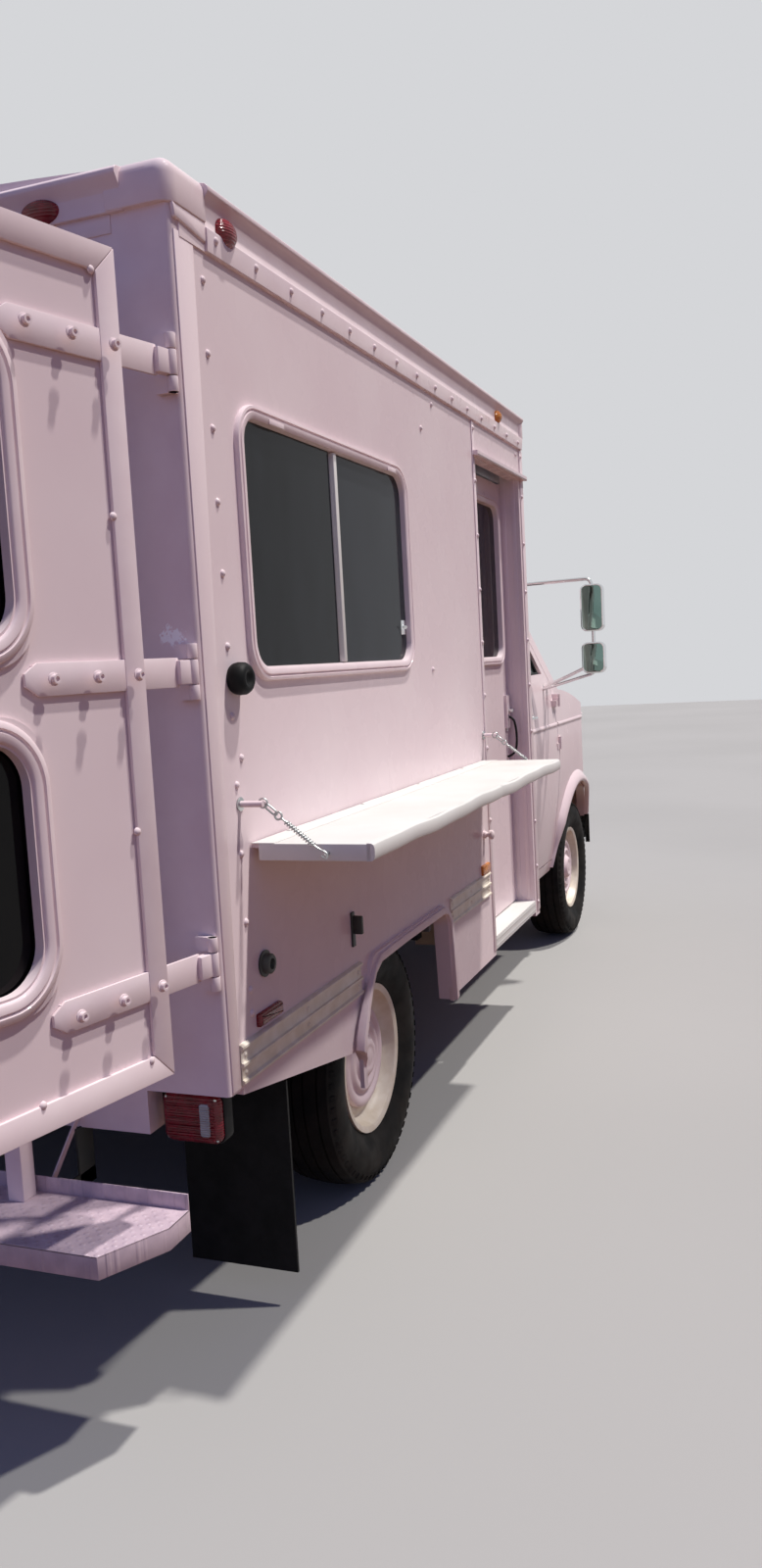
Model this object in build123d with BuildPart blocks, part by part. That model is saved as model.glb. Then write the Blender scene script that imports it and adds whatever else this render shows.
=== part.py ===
from build123d import *
import math
import os

os.makedirs("parts", exist_ok=True)

# Frame: +X forward, +Y to the left, +Z up, origin on the ground under the middle of the truck.
# The serving window, its shelf and the entry door are on the right side, at -Y.
# All sizes are in millimetres.

# Driving sizes of the chassis; the cab length runs from the box to the front axle
cab_length = 1329
step_reach = 340
rear_overhang = 1053
front_overhang = 745
track_front = 1756
track_rear = 1828
tyre_radius = 373
tyre_width = 215
rim_radius = 222
rim_seat_radius = 203
rim_width = 165
rail_height = 140
rail_width = 60
rail_spread = 860
rail_bottom = 455

# Driving sizes of the box
box_length = 2910
box_width = 2180
roof_edge = 2565
roof_crown = 50
roof_round = 30
wall = 40
floor_top = 720
floor_thickness = 60
post_width = 134
post_depth = 60
post_bottom = 650
skirt_low = 410
sill_bottom = 550
door_sill = 745
door_head = 2370
cap_drop = 72
rail_face_drop = 135
rail_face_thickness = 4

# Serving window and shelf, measured forward from the rear face of the box
window_start = 250
window_end = 1310
window_low = 1565
window_high = 2115
window_corner = 60
window_frame = 34
window_proud = 14
shelf_start = 165
shelf_to_door = 81
shelf_top = 1174
shelf_thickness = 40
shelf_reach = 298
shelf_pivot_out = 12
shelf_pivot_radius = 6

# Entry doorway, measured back from the front of the box
entry_from_front = 76
entry_width = 677
entry_head = 2300
entry_recess = 85
entry_door_thickness = 32
handle_proud = 12
tread_top = 480
tread_thickness = 30
slide_travel = 600

# Rear doors
rear_door_thickness = 40
rear_door_proud = 2
strap_thickness = 6
strap_length = 410
strap_width = 50
hinge_pin_radius = 5
hinge_barrel_radius = 10
hinge_barrel_height = 115
hinge_pin_inset = 8
hinge_pin_behind = 16
hinge_heights = (947, 1560, 2175)
rear_door_rest = 78

# Van cab, measured from the front axle and the ground
cab_half_width = 1010
cab_roof = 2030
cab_panel = 45
nose_ahead = 650
cowl_behind = 230
cowl_height = 1370
header_behind = 770
door_front_behind = 400
door_rear_behind = 1120
belt_height = 1420
cab_floor = 620
arch_radius = 470

# Clearances
running = 0.3
gap = 6

# Places worked out from the driving sizes; the open rear door is the rearmost piece
door_swing = box_width / 2 - hinge_pin_inset
rear_reach = max(step_reach, hinge_pin_behind + door_swing * math.sin(math.radians(rear_door_rest)))
wheelbase = box_length - rear_overhang + cab_length
overall = rear_reach + rear_overhang + wheelbase + front_overhang
rear_x = -overall / 2 + rear_reach
front_x = rear_x + box_length
rear_axle_x = rear_x + rear_overhang
front_axle_x = rear_axle_x + wheelbase
bumper_x = front_axle_x + front_overhang
half = box_width / 2
inner = half - wall
nose_x = front_axle_x + nose_ahead
cowl_x = front_axle_x - cowl_behind
header_x = front_axle_x - header_behind
shut_x = front_axle_x - door_front_behind
latch_x = front_axle_x - door_rear_behind
rail_top = rail_bottom + rail_height
wheel_z = tyre_radius
entry_end = box_length - entry_from_front
entry_start = entry_end - entry_width
shelf_end = entry_start - shelf_to_door
window_centre = (rear_x + (window_start + window_end) / 2, (window_low + window_high) / 2)
window_size = (window_end - window_start, window_high - window_low)
right, left = -1, 1


def block(x, y, z, mode=Mode.ADD):
    """A rectangular block between low and high X, Y and Z."""
    low = (min(x), min(y), min(z))
    size = (abs(x[1] - x[0]), abs(y[1] - y[0]), abs(z[1] - z[0]))
    with Locations(low):
        Box(*size, align=(Align.MIN, Align.MIN, Align.MIN), mode=mode)


def rod(start, end, radius, mode=Mode.ADD):
    """A round bar from one point to another."""
    run = Vector(*end) - Vector(*start)
    with Locations(Plane(origin=start, z_dir=run)):
        Cylinder(radius, run.length, align=(Align.CENTER, Align.CENTER, Align.MIN), mode=mode)


def save(part, name):
    """Give a finished piece its name and write it."""
    part.part.label = name
    export_step(part.part, "parts/" + name + ".step")


# Frame: two channel rails, the crossmembers between them and the outriggers that carry the box floor
axle_place = box_length + cab_length
crossmember_places = (106, 400, 830, 1500, 2200, box_length - 10, axle_place - 639, axle_place + 361)
outrigger_places = (90, 480, 1640, entry_start - 107, box_length - 40)
crossmember_low = rail_top - 70
web = 6
frame_start = rear_x + post_depth
frame_end = nose_x - 130
with BuildPart() as frame_rails:
    for side in (right, left):
        middle = side * rail_spread / 2
        with BuildSketch(Plane.YZ.offset(frame_start)):
            with Locations((middle, rail_bottom + rail_height / 2)):
                Rectangle(rail_width, rail_height)
            with Locations((middle - side * web, rail_bottom + rail_height / 2)):
                Rectangle(rail_width, rail_height - 2 * web, mode=Mode.SUBTRACT)
        extrude(amount=frame_end - frame_start)
save(frame_rails, "frame_rails")
web_y = rail_spread / 2 + rail_width / 2 - web
outrigger_half = inner - 90
with BuildPart() as crossmembers:
    for place in crossmember_places:
        middle = rear_x + place
        block((middle - 30, middle + 30), (-web_y, web_y), (crossmember_low, rail_top - web))
    for place in outrigger_places:
        middle = rear_x + place
        block((middle - 25, middle + 25), (-outrigger_half, outrigger_half),
              (rail_top, floor_top - floor_thickness))
save(crossmembers, "crossmembers")

# Engine, one plain block behind the grille and under the cowl
engine_length = 720
engine_width = 520
engine_low = rail_bottom + 40
engine_height = cowl_height - 315 - engine_low
engine_start = front_axle_x - 560
with BuildPart() as engine_block:
    block((engine_start, engine_start + engine_length), (-engine_width / 2, engine_width / 2),
          (engine_low, engine_low + engine_height))
    fillet(engine_block.edges().filter_by(Axis.Z), 30)
save(engine_block, "engine_block")

# Rear axle with its housing, brake drums, leaf springs and the drive shaft
spring_y = rail_spread / 2 + rail_width / 2 + 55
spring_half_length = 620
axle_tube_radius = 42
hub_inner_rear = track_rear / 2 - 75
hub_radius = 55
drum_radius = 150
spring_eye_z = rail_bottom + 97
shaft_end_x = engine_start - 4
hub_seat = 20 - running
with BuildPart() as rear_axle:
    rod((rear_axle_x, -hub_inner_rear, wheel_z), (rear_axle_x, hub_inner_rear, wheel_z), axle_tube_radius)
    with Locations((rear_axle_x, 0, wheel_z)):
        Sphere(drum_radius)
    for side in (right, left):
        drum = Plane(origin=(rear_axle_x, side * hub_inner_rear, wheel_z), z_dir=(0, -side, 0))
        with Locations(drum):
            Cylinder(drum_radius, 70, align=(Align.CENTER, Align.CENTER, Align.MIN))
        rod((rear_axle_x, side * hub_inner_rear, wheel_z),
            (rear_axle_x, side * (track_rear / 2 + hub_seat), wheel_z), hub_radius)
    rod((rear_axle_x + 100, 0, wheel_z), (shaft_end_x, 0, rail_bottom + 25), 38)
    for side in (right, left):
        with BuildSketch(Plane.XZ.offset(-side * spring_y - 30)):
            with BuildLine():
                bow = ThreePointArc((rear_axle_x - spring_half_length, rail_bottom + 90),
                                    (rear_axle_x, wheel_z + axle_tube_radius),
                                    (rear_axle_x + spring_half_length, rail_bottom + 90))
                Line(bow @ 1, bow @ 1 + (0, 14))
                upper = ThreePointArc(bow @ 0 + (0, 14), (rear_axle_x, wheel_z + axle_tube_radius + 42),
                                      bow @ 1 + (0, 14))
                Line(bow @ 0, upper @ 0)
            make_face()
        extrude(amount=60)
        block((rear_axle_x - 45, rear_axle_x + 45), (side * spring_y - 42, side * spring_y + 42),
              (wheel_z - 60, wheel_z + axle_tube_radius + 55))
        for end in (-1, 1):
            eye_x = rear_axle_x + end * spring_half_length
            inboard = side * (rail_spread / 2 + rail_width / 2)
            rod((eye_x, inboard, spring_eye_z), (eye_x, side * (spring_y + 36), spring_eye_z), 22)
save(rear_axle, "rear_axle")

# Front suspension: crossmember, lower and upper arms and coil springs
kingpin_y = track_front / 2 - 105
with BuildPart() as front_suspension:
    block((front_axle_x - 90, front_axle_x + 90), (-rail_spread / 2 + 30, rail_spread / 2 - 30),
          (rail_bottom - 120, rail_bottom + 40))
    for side in (right, left):
        for height in (wheel_z - 95, wheel_z + 140):
            inner_end = side * (rail_spread / 2 + rail_width / 2 + 26)
            outer_end = side * (kingpin_y - 40)
            block((front_axle_x - 30, front_axle_x + 30), (outer_end, side * (kingpin_y - 24 - running)),
                  (height - 22, height + 22))
            rod((front_axle_x - 110, inner_end, height + 20), (front_axle_x, outer_end, height), 20)
            rod((front_axle_x + 110, inner_end, height + 20), (front_axle_x, outer_end, height), 20)
        block((front_axle_x - 130, front_axle_x + 130), (inner_end - 26, inner_end + 26),
              (wheel_z - 110, rail_top - 20))
        block((front_axle_x - 90, front_axle_x + 90), (side * (rail_spread / 2 - 31), inner_end),
              (rail_bottom - 120, rail_bottom))
        rod((front_axle_x, side * (kingpin_y - 100), wheel_z - 90),
            (front_axle_x, side * (kingpin_y - 100), wheel_z + 150), 52)
save(front_suspension, "front_suspension")

# Fuel tank between the rails behind the rear axle, and the exhaust beside the left rail
with BuildPart() as fuel_tank:
    block((rear_x + 250, rear_x + 780), (-300, 300), (crossmember_low - 200, crossmember_low))
    fillet(fuel_tank.edges().filter_by(Axis.X), 50)
save(fuel_tank, "fuel_tank")

exhaust_y = 320
exhaust_z = rail_bottom - 40
with BuildPart() as exhaust:
    with BuildSketch(Plane.YZ.offset(rear_axle_x + 700)):
        with Locations((exhaust_y, exhaust_z)):
            Ellipse(100, 65)
    extrude(amount=620)
    rod((rear_axle_x + 1300, exhaust_y, exhaust_z), (engine_start + 60, exhaust_y, exhaust_z), 28)
    rod((rear_axle_x + 720, exhaust_y, exhaust_z), (rear_axle_x + 260, exhaust_y, exhaust_z), 26)
    rod((engine_start + 60, exhaust_y, exhaust_z - 28), (engine_start + 60, exhaust_y, rail_bottom + 110), 28)
    block((engine_start + 32, engine_start + 88), (engine_width / 2, exhaust_y),
          (rail_bottom + 60, rail_bottom + 112))
save(exhaust, "exhaust")

# Wheels: a tyre of one revolved section on a dished steel disc with a round hub cover
wheel_table = (
    # name, axle x, track, side
    ("front_right", front_axle_x, track_front, right),
    ("front_left", front_axle_x, track_front, left),
    ("rear_right", rear_axle_x, track_rear, right),
    ("rear_left", rear_axle_x, track_rear, left),
)
hub_face = 60
for name, axle_x, track, side in wheel_table:
    centre_y = side * track / 2
    spin = Axis((axle_x, centre_y, wheel_z), (0, 1, 0))
    half_tyre = tyre_width / 2
    tread_half = tyre_width * 0.40
    with BuildPart() as tyre:
        with BuildSketch(Plane(origin=(axle_x, centre_y, wheel_z), x_dir=(0, side, 0), z_dir=(1, 0, 0))):
            bead = rim_width / 2 - 8
            widest = (tyre_radius + rim_seat_radius) / 2 + 8
            with BuildLine():
                crown = ThreePointArc((-tread_half, tyre_radius - 10), (0, tyre_radius),
                                      (tread_half, tyre_radius - 10))
                ThreePointArc(crown @ 1, (half_tyre, widest), (bead, rim_radius + 3))
                Polyline((bead, rim_radius + 3), (bead, rim_seat_radius), (-bead, rim_seat_radius),
                         (-bead, rim_radius + 3))
                ThreePointArc((-bead, rim_radius + 3), (-half_tyre, widest), crown @ 0)
            make_face()
        revolve(axis=spin)
    save(tyre, "tyre_" + name)
    with BuildPart() as rim:
        with BuildSketch(Plane(origin=(axle_x, centre_y, wheel_z), x_dir=(0, side, 0), z_dir=(1, 0, 0))):
            with BuildLine():
                Polyline((rim_width / 2, rim_radius), (rim_width / 2 - 8, rim_radius),
                         (rim_width / 2 - 8, rim_seat_radius), (-rim_width / 2 + 8, rim_seat_radius),
                         (-rim_width / 2 + 8, rim_radius), (-rim_width / 2, rim_radius),
                         (-rim_width / 2, rim_seat_radius - 8), (0, rim_seat_radius - 8),
                         (-10, 168), (16, 148), (20, 60), (20, 0), (hub_face, 0), (hub_face, 52), (34, 62),
                         (28, 150), (8, 172), (12, rim_seat_radius - 8), (rim_width / 2, rim_seat_radius - 8),
                         close=True)
            make_face()
        revolve(axis=spin)
    save(rim, "rim_" + name)

# Steering knuckles with their kingpins, stub axles and brake drums
for name, side in (("knuckle_right", right), ("knuckle_left", left)):
    pin_y = side * kingpin_y
    drum_start = side * (track_front / 2 - 74)
    drum_end = side * (track_front / 2 - 26)
    hub_end = side * (track_front / 2 + hub_seat)
    with BuildPart() as knuckle:
        rod((front_axle_x, pin_y, wheel_z - 120), (front_axle_x, pin_y, wheel_z + 190), 24)
        rod((front_axle_x, pin_y, wheel_z), (front_axle_x, side * (track_front / 2 - 70), wheel_z), 30)
        rod((front_axle_x, drum_start, wheel_z), (front_axle_x, drum_end, wheel_z), 128)
        rod((front_axle_x, drum_end - side, wheel_z), (front_axle_x, hub_end, wheel_z), hub_radius)
        rod((front_axle_x, pin_y, wheel_z - 40), (front_axle_x - 150, pin_y - side * 20, wheel_z - 40), 14)
    save(knuckle, name)

# Side walls: a tapered lower edge, the rear wheel arch with its rolled lip and, on the right,
# the serving window and the recessed entry doorway
arch_foot_rear = 749
arch_foot_front = 1555
arch_top_rear = 900
arch_top_front = 1440
arch_top = 722
arch_shoulder = 60
lip_width = 26
lip_proud = 12
lip_cut = arch_foot_front - arch_foot_rear + 300
taper_end = 690
taper_low = 515
door_slot_in = -half + entry_recess + entry_door_thickness + gap
stay_z = shelf_top + 93
shelf_pin_z = shelf_top - 20
stay_out = 50
shelf_pin_out = 190
stay_pin_radius = 5


def arch_outline(grow):
    """The wheel arch opening, grown outwards by an amount, as a sketch on the side plane."""
    with BuildSketch(mode=Mode.PRIVATE) as outline:
        with BuildLine():
            FilletPolyline((rear_x + arch_foot_rear - grow, -skirt_low),
                           (rear_x + arch_foot_rear - grow, skirt_low + 90),
                           (rear_x + arch_top_rear - 55 - grow / 2, arch_top + grow),
                           (rear_x + arch_foot_front - 25 + grow / 2, arch_top + grow),
                           (rear_x + arch_foot_front + grow, skirt_low),
                           (rear_x + arch_foot_front + grow, -skirt_low), radius=arch_shoulder)
            Line((rear_x + arch_foot_front + grow, -skirt_low), (rear_x + arch_foot_rear - grow, -skirt_low))
        make_face()
    return outline.sketch


for name, side in (("side_wall_right", right), ("side_wall_left", left)):
    outer_plane = Plane(origin=(0, side * half, 0), x_dir=(1, 0, 0), z_dir=(0, -1, 0))
    with BuildPart() as side_wall:
        with BuildSketch(outer_plane):
            with BuildLine():
                Polyline((rear_x + post_depth, post_bottom - 15), (rear_x + taper_end, taper_low),
                         (rear_x + arch_foot_front, skirt_low), (front_x, skirt_low),
                         (front_x, roof_edge - 40), (rear_x + post_depth, roof_edge - 40), close=True)
            make_face()
            add(arch_outline(0), mode=Mode.SUBTRACT)
        extrude(amount=side * wall)
        with BuildSketch(outer_plane):
            add(arch_outline(lip_width))
            add(arch_outline(0), mode=Mode.SUBTRACT)
            with Locations((rear_x + (arch_foot_rear + arch_foot_front) / 2, skirt_low - 5)):
                Rectangle(lip_cut, 2 * skirt_low, align=(Align.CENTER, Align.MAX), mode=Mode.SUBTRACT)
        extrude(amount=-side * lip_proud)
        if side == right:
            # Window opening
            with BuildSketch(outer_plane):
                with Locations(window_centre):
                    RectangleRounded(window_size[0] + 30, window_size[1] + 30, window_corner + 15)
            extrude(amount=side * wall, mode=Mode.SUBTRACT)
            # Doorway with its front and rear jambs
            jamb_in = -half + entry_recess - handle_proud - gap
            block((rear_x + entry_start - 34, rear_x + entry_start), (-half, jamb_in),
                  (skirt_low, entry_head))
            block((rear_x + entry_end, front_x), (-half, door_slot_in),
                  (skirt_low + 20, roof_edge - 40))
            block((rear_x + entry_start, rear_x + entry_end), (-half - 1, -inner + 1), (0, entry_head),
                  mode=Mode.SUBTRACT)
            # Drip cap over the doorway
            block((rear_x + entry_start - 25, front_x), (-half - 22, -half),
                  (entry_head + 4, entry_head + 20))
            # Shelf hinge: a rod on brackets along the wall
            pivot_z = shelf_top - shelf_pivot_radius
            pivot_y = -half - shelf_pivot_out
            rod((rear_x + shelf_start + 10, pivot_y, pivot_z), (rear_x + shelf_end - 10, pivot_y, pivot_z),
                shelf_pivot_radius)
            for place in (0.0, 0.25, 0.5, 0.75, 1.0):
                x = rear_x + shelf_start + 25 + place * (shelf_end - shelf_start - 50)
                block((x - 15, x + 15), (pivot_y, -half), (pivot_z - 5, pivot_z + 5))
            # Pins that carry the shelf stays
            for stay_x, away in ((shelf_start - 20, -1), (shelf_end + 20, 1)):
                x = rear_x + stay_x
                rod((x + away * 14, -half, stay_z), (x + away * 14, -half - stay_out - 7, stay_z), 7)
                rod((x + away * 18, -half - stay_out, stay_z), (x - away * 7, -half - stay_out, stay_z),
                    stay_pin_radius)
    save(side_wall, name)

# Track over the entry door: a slotted channel that the door's hangers run in
hanger_width = 14
track_y = -half + entry_recess + entry_door_thickness / 2
with BuildPart() as door_track:
    block((rear_x + entry_start - slide_travel - 60, rear_x + entry_end), (track_y - 20, track_y + 20),
          (entry_head - 8, entry_head + 34))
    block((rear_x + entry_start - slide_travel - 60, rear_x + entry_end),
          (track_y - hanger_width / 2 - running, track_y + hanger_width / 2 + running),
          (entry_head - 8, entry_head + 22), mode=Mode.SUBTRACT)
    block((rear_x + entry_start - slide_travel - 60, rear_x + entry_start - 36), (-inner, track_y - 20),
          (entry_head + 10, entry_head + 34))
save(door_track, "door_track")

# Roof: crowned, with rounded side edges and the riveted rail along each side
with BuildPart() as box_roof:
    with BuildSketch(Plane.YZ.offset(rear_x)):
        with BuildLine():
            low_z = roof_edge - 40
            crown_line = ThreePointArc((-half + roof_round, roof_edge), (0, roof_edge + roof_crown),
                                       (half - roof_round, roof_edge))
            round_left = RadiusArc(crown_line @ 1, (half, roof_edge - roof_round), roof_round)
            Polyline(round_left @ 1, (half, low_z), (-half, low_z), (-half, roof_edge - roof_round))
            RadiusArc((-half, roof_edge - roof_round), crown_line @ 0, roof_round)
        make_face()
    extrude(amount=box_length)
    for side in (right, left):
        outer_y = side * half
        block((rear_x + 30, front_x - 30), (outer_y, outer_y + side * rail_face_thickness),
              (roof_edge - rail_face_drop, roof_edge - roof_round - 5))
    block((rear_x - 12, rear_x), (-half + 40, half - 40), (roof_edge - cap_drop + 32, roof_edge - 8))
save(box_roof, "box_roof")

# Front wall of the box, with the way through to the cab
passage_half = 520
passage_top = 1900
with BuildPart() as front_wall:
    block((front_x - wall, front_x), (-inner, inner), (floor_top - floor_thickness, roof_edge - 40))
    block((front_x - wall, front_x), (-passage_half, passage_half), (floor_top, passage_top),
          mode=Mode.SUBTRACT)
    block((front_x - wall, front_x), (-inner, door_slot_in), (floor_top - floor_thickness, roof_edge - 40),
          mode=Mode.SUBTRACT)
save(front_wall, "front_wall")

# Floor of the box with the wheel boxes, the slot for the entry door and the step well
wheel_box_top = 800
wheel_box_inner = track_rear / 2 - tyre_width / 2 - 45
wheel_box_start = rear_x + 600
wheel_box_end = rear_x + 1500
step_depth = 330
with BuildPart() as box_floor:
    block((rear_x + post_depth, front_x - wall), (-inner, inner), (floor_top - floor_thickness, floor_top))
    for side in (right, left):
        block((wheel_box_start, wheel_box_end), (side * (wheel_box_inner - 20), side * inner),
              (floor_top - floor_thickness, wheel_box_top + 20))
        block((wheel_box_start + 20, wheel_box_end - 20), (side * wheel_box_inner, side * inner),
              (floor_top - floor_thickness, wheel_box_top), mode=Mode.SUBTRACT)
    block((wheel_box_end + gap, front_x - wall), (-inner, door_slot_in),
          (floor_top - floor_thickness, floor_top),
          mode=Mode.SUBTRACT)
    block((rear_x + entry_start, rear_x + entry_end), (-inner, -half + step_depth),
          (floor_top - floor_thickness, floor_top), mode=Mode.SUBTRACT)
save(box_floor, "box_floor")

# Entry step: a tread with a turned-down nosing, a riser and two hangers from the floor
with BuildPart() as entry_step:
    block((rear_x + entry_start, rear_x + entry_end), (-half, -half + step_depth), (tread_top - 4, tread_top))
    block((rear_x + entry_start, rear_x + entry_end), (-half, -half + 4), (tread_top - 52, tread_top))
    block((rear_x + entry_start, rear_x + entry_end), (-half + step_depth - 4, -half + step_depth),
          (tread_top - 4, floor_top))
    for x in (rear_x + entry_start, rear_x + entry_end - 4):
        block((x, x + 4), (-half, -half + step_depth), (tread_top - 40, tread_top))
        block((x, x + 4), (door_slot_in + 10, -half + step_depth), (tread_top - 40, floor_top))
save(entry_step, "entry_step")

# Entry door: a flat panel with one tall window, hung from two hangers in the track
entry_door_y = (-half + entry_recess, -half + entry_recess + entry_door_thickness)
entry_door_x = (rear_x + entry_start - 20, rear_x + entry_end - gap)
entry_glass_low = 1550
entry_glass_high = 2190
handle_heights = (1250, 1390)
entry_glass_x = (rear_x + entry_start + 90, rear_x + entry_end - 70)
door_face = Plane(origin=(0, entry_door_y[0], 0), x_dir=(1, 0, 0), z_dir=(0, -1, 0))
glass_centre = ((entry_glass_x[0] + entry_glass_x[1]) / 2, (entry_glass_low + entry_glass_high) / 2)
glass_size = (entry_glass_x[1] - entry_glass_x[0], entry_glass_high - entry_glass_low)
with BuildPart() as entry_door:
    block(entry_door_x, entry_door_y, (tread_top + gap, entry_head - 8 - gap))
    with BuildSketch(door_face):
        with Locations(glass_centre):
            RectangleRounded(*glass_size, window_corner)
    extrude(amount=-entry_door_thickness, mode=Mode.SUBTRACT)
    with BuildSketch(door_face):
        with Locations(glass_centre):
            RectangleRounded(glass_size[0] + 50, glass_size[1] + 50, window_corner + 25)
            RectangleRounded(*glass_size, window_corner, mode=Mode.SUBTRACT)
    extrude(amount=8)
    for share in (0.15, 0.85):
        x = entry_door_x[0] + share * (entry_door_x[1] - entry_door_x[0])
        block((x - 30, x + 30), (track_y - hanger_width / 2, track_y + hanger_width / 2),
              (entry_head - 8 - gap, entry_head + 22 - running))
    block((entry_door_x[1] - 60, entry_door_x[1] - 10), (entry_door_y[0] - handle_proud, entry_door_y[0]),
          handle_heights)
save(entry_door, "entry_door")
with BuildPart() as entry_door_glass:
    with BuildSketch(door_face.offset(-entry_door_thickness / 2)):
        with Locations(glass_centre):
            RectangleRounded(*glass_size, window_corner)
    extrude(amount=6)
save(entry_door_glass, "entry_door_glass")

# Rear frame: corner posts, header, sill and the outer knuckles of the door hinges
with BuildPart() as rear_frame:
    for side in (right, left):
        block((rear_x, rear_x + post_depth), (side * (half - post_width), side * half),
              (post_bottom, roof_edge - 40))
    block((rear_x, rear_x + post_depth), (-half, half), (door_head, roof_edge - 40))
    block((rear_x, rear_x + post_depth), (-half + 207, half - 207), (sill_bottom, door_sill))
    block((rear_x, rear_x + post_depth), (-half, half), (post_bottom, door_sill))
    fillet(rear_frame.edges().filter_by(Axis.Z).filter_by_position(Axis.Y, half - 1, half + 1)
           .filter_by_position(Axis.X, rear_x - 1, rear_x + 1), 12)
    fillet(rear_frame.edges().filter_by(Axis.Z).filter_by_position(Axis.Y, -half - 1, -half + 1)
           .filter_by_position(Axis.X, rear_x - 1, rear_x + 1), 12)
    pin_x = rear_x - hinge_pin_behind
    for side in (right, left):
        pin_y = side * (half - hinge_pin_inset)
        for height in hinge_heights:
            rod((pin_x, pin_y, height - hinge_barrel_height / 2),
                (pin_x, pin_y, height + hinge_barrel_height / 2),
                hinge_pin_radius)
            for low, high in ((-hinge_barrel_height / 2, -strap_width / 2 - 2),
                              (strap_width / 2 + 2, hinge_barrel_height / 2)):
                rod((pin_x, pin_y, height + low), (pin_x, pin_y, height + high), hinge_barrel_radius)
                block((pin_x - 2, rear_x), (pin_y - side * 40, pin_y), (height + low, height + high))
save(rear_frame, "rear_frame")

# Rear doors: flat panels with a raised frame, two windows and three strap hinges each
rear_glass_from_pin = (435, 870)
rear_windows = ((1011, 1460), (1622, 2150))
swing_edge = half - post_width - gap
centre_gap = 8
for name, side in (("right", right), ("left", left)):
    pin_y = side * (half - hinge_pin_inset)
    face_x = rear_x - rear_door_proud
    # The right door stands open in the photo: it is made closed, then turned about its pins
    turn = rear_door_rest if side == right else 0
    pin_axis = Axis((pin_x, pin_y, 0), (0, 0, 1))
    rear_plane = Plane(origin=(face_x, 0, 0), x_dir=(0, 1, 0), z_dir=(1, 0, 0))
    with BuildPart() as rear_door:
        block((face_x, face_x + rear_door_thickness), (side * centre_gap / 2, side * swing_edge),
              (door_sill + gap, door_head - gap))
        for low, high in rear_windows:
            centre = (pin_y - side * (rear_glass_from_pin[0] + rear_glass_from_pin[1]) / 2, (low + high) / 2)
            size = (rear_glass_from_pin[1] - rear_glass_from_pin[0], high - low)
            with BuildSketch(rear_plane):
                with Locations(centre):
                    RectangleRounded(*size, window_corner)
            extrude(amount=rear_door_thickness, mode=Mode.SUBTRACT)
            with BuildSketch(rear_plane):
                with Locations(centre):
                    RectangleRounded(size[0] + 80, size[1] + 80, window_corner + 40)
                    RectangleRounded(*size, window_corner, mode=Mode.SUBTRACT)
            extrude(amount=-8)
        for height in hinge_heights:
            block((face_x - strap_thickness, face_x), (pin_y - side * 14, pin_y - side * strap_length),
                  (height - strap_width / 2, height + strap_width / 2))
            rod((pin_x, pin_y, height - strap_width / 2), (pin_x, pin_y, height + strap_width / 2),
                hinge_barrel_radius)
            block((face_x - strap_thickness, face_x), (pin_y, pin_y - side * 20),
                  (height - strap_width / 2, height + strap_width / 2))
            block((pin_x, face_x), (pin_y, pin_y - side * 12),
                  (height - strap_width / 2, height + strap_width / 2))
            rod((pin_x, pin_y, height - strap_width), (pin_x, pin_y, height + strap_width),
                hinge_pin_radius + running, mode=Mode.SUBTRACT)
    door_solid = rear_door.part.rotate(pin_axis, turn)
    with BuildPart() as rear_door_placed:
        add(door_solid)
    save(rear_door_placed, "rear_door_" + name)
    with BuildPart() as rear_glass:
        for low, high in rear_windows:
            centre = (pin_y - side * (rear_glass_from_pin[0] + rear_glass_from_pin[1]) / 2, (low + high) / 2)
            size = (rear_glass_from_pin[1] - rear_glass_from_pin[0], high - low)
            with BuildSketch(rear_plane.offset(rear_door_thickness / 2 - 3)):
                with Locations(centre):
                    RectangleRounded(*size, window_corner)
            extrude(amount=6)
    glass_solid = rear_glass.part.rotate(pin_axis, turn)
    with BuildPart() as rear_glass_placed:
        add(glass_solid)
    save(rear_glass_placed, "rear_glass_" + name)

# Rub rails: two ribbed channels low on each side, broken by the wheel arch
rub_runs = ((50, arch_foot_rear + 12), (arch_foot_front + 40, entry_start - 60))
rub_low = 658
rub_high = 750
with BuildPart() as rub_rails:
    for side in (right, left):
        for start, end in rub_runs:
            for share in (0, 0.5, 1):
                z = rub_low + 14 + share * (rub_high - rub_low - 28)
                with BuildSketch(Plane.YZ.offset(rear_x + start)):
                    with Locations((side * half, z)):
                        SlotOverall(28, 20, rotation=0)
                    with Locations((side * (half - 30), z)):
                        Rectangle(60, 60, mode=Mode.SUBTRACT)
                extrude(amount=end - start)
            block((rear_x + start, rear_x + end), (side * half, side * (half + 4)), (rub_low, rub_high))
save(rub_rails, "rub_rails")

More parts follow.
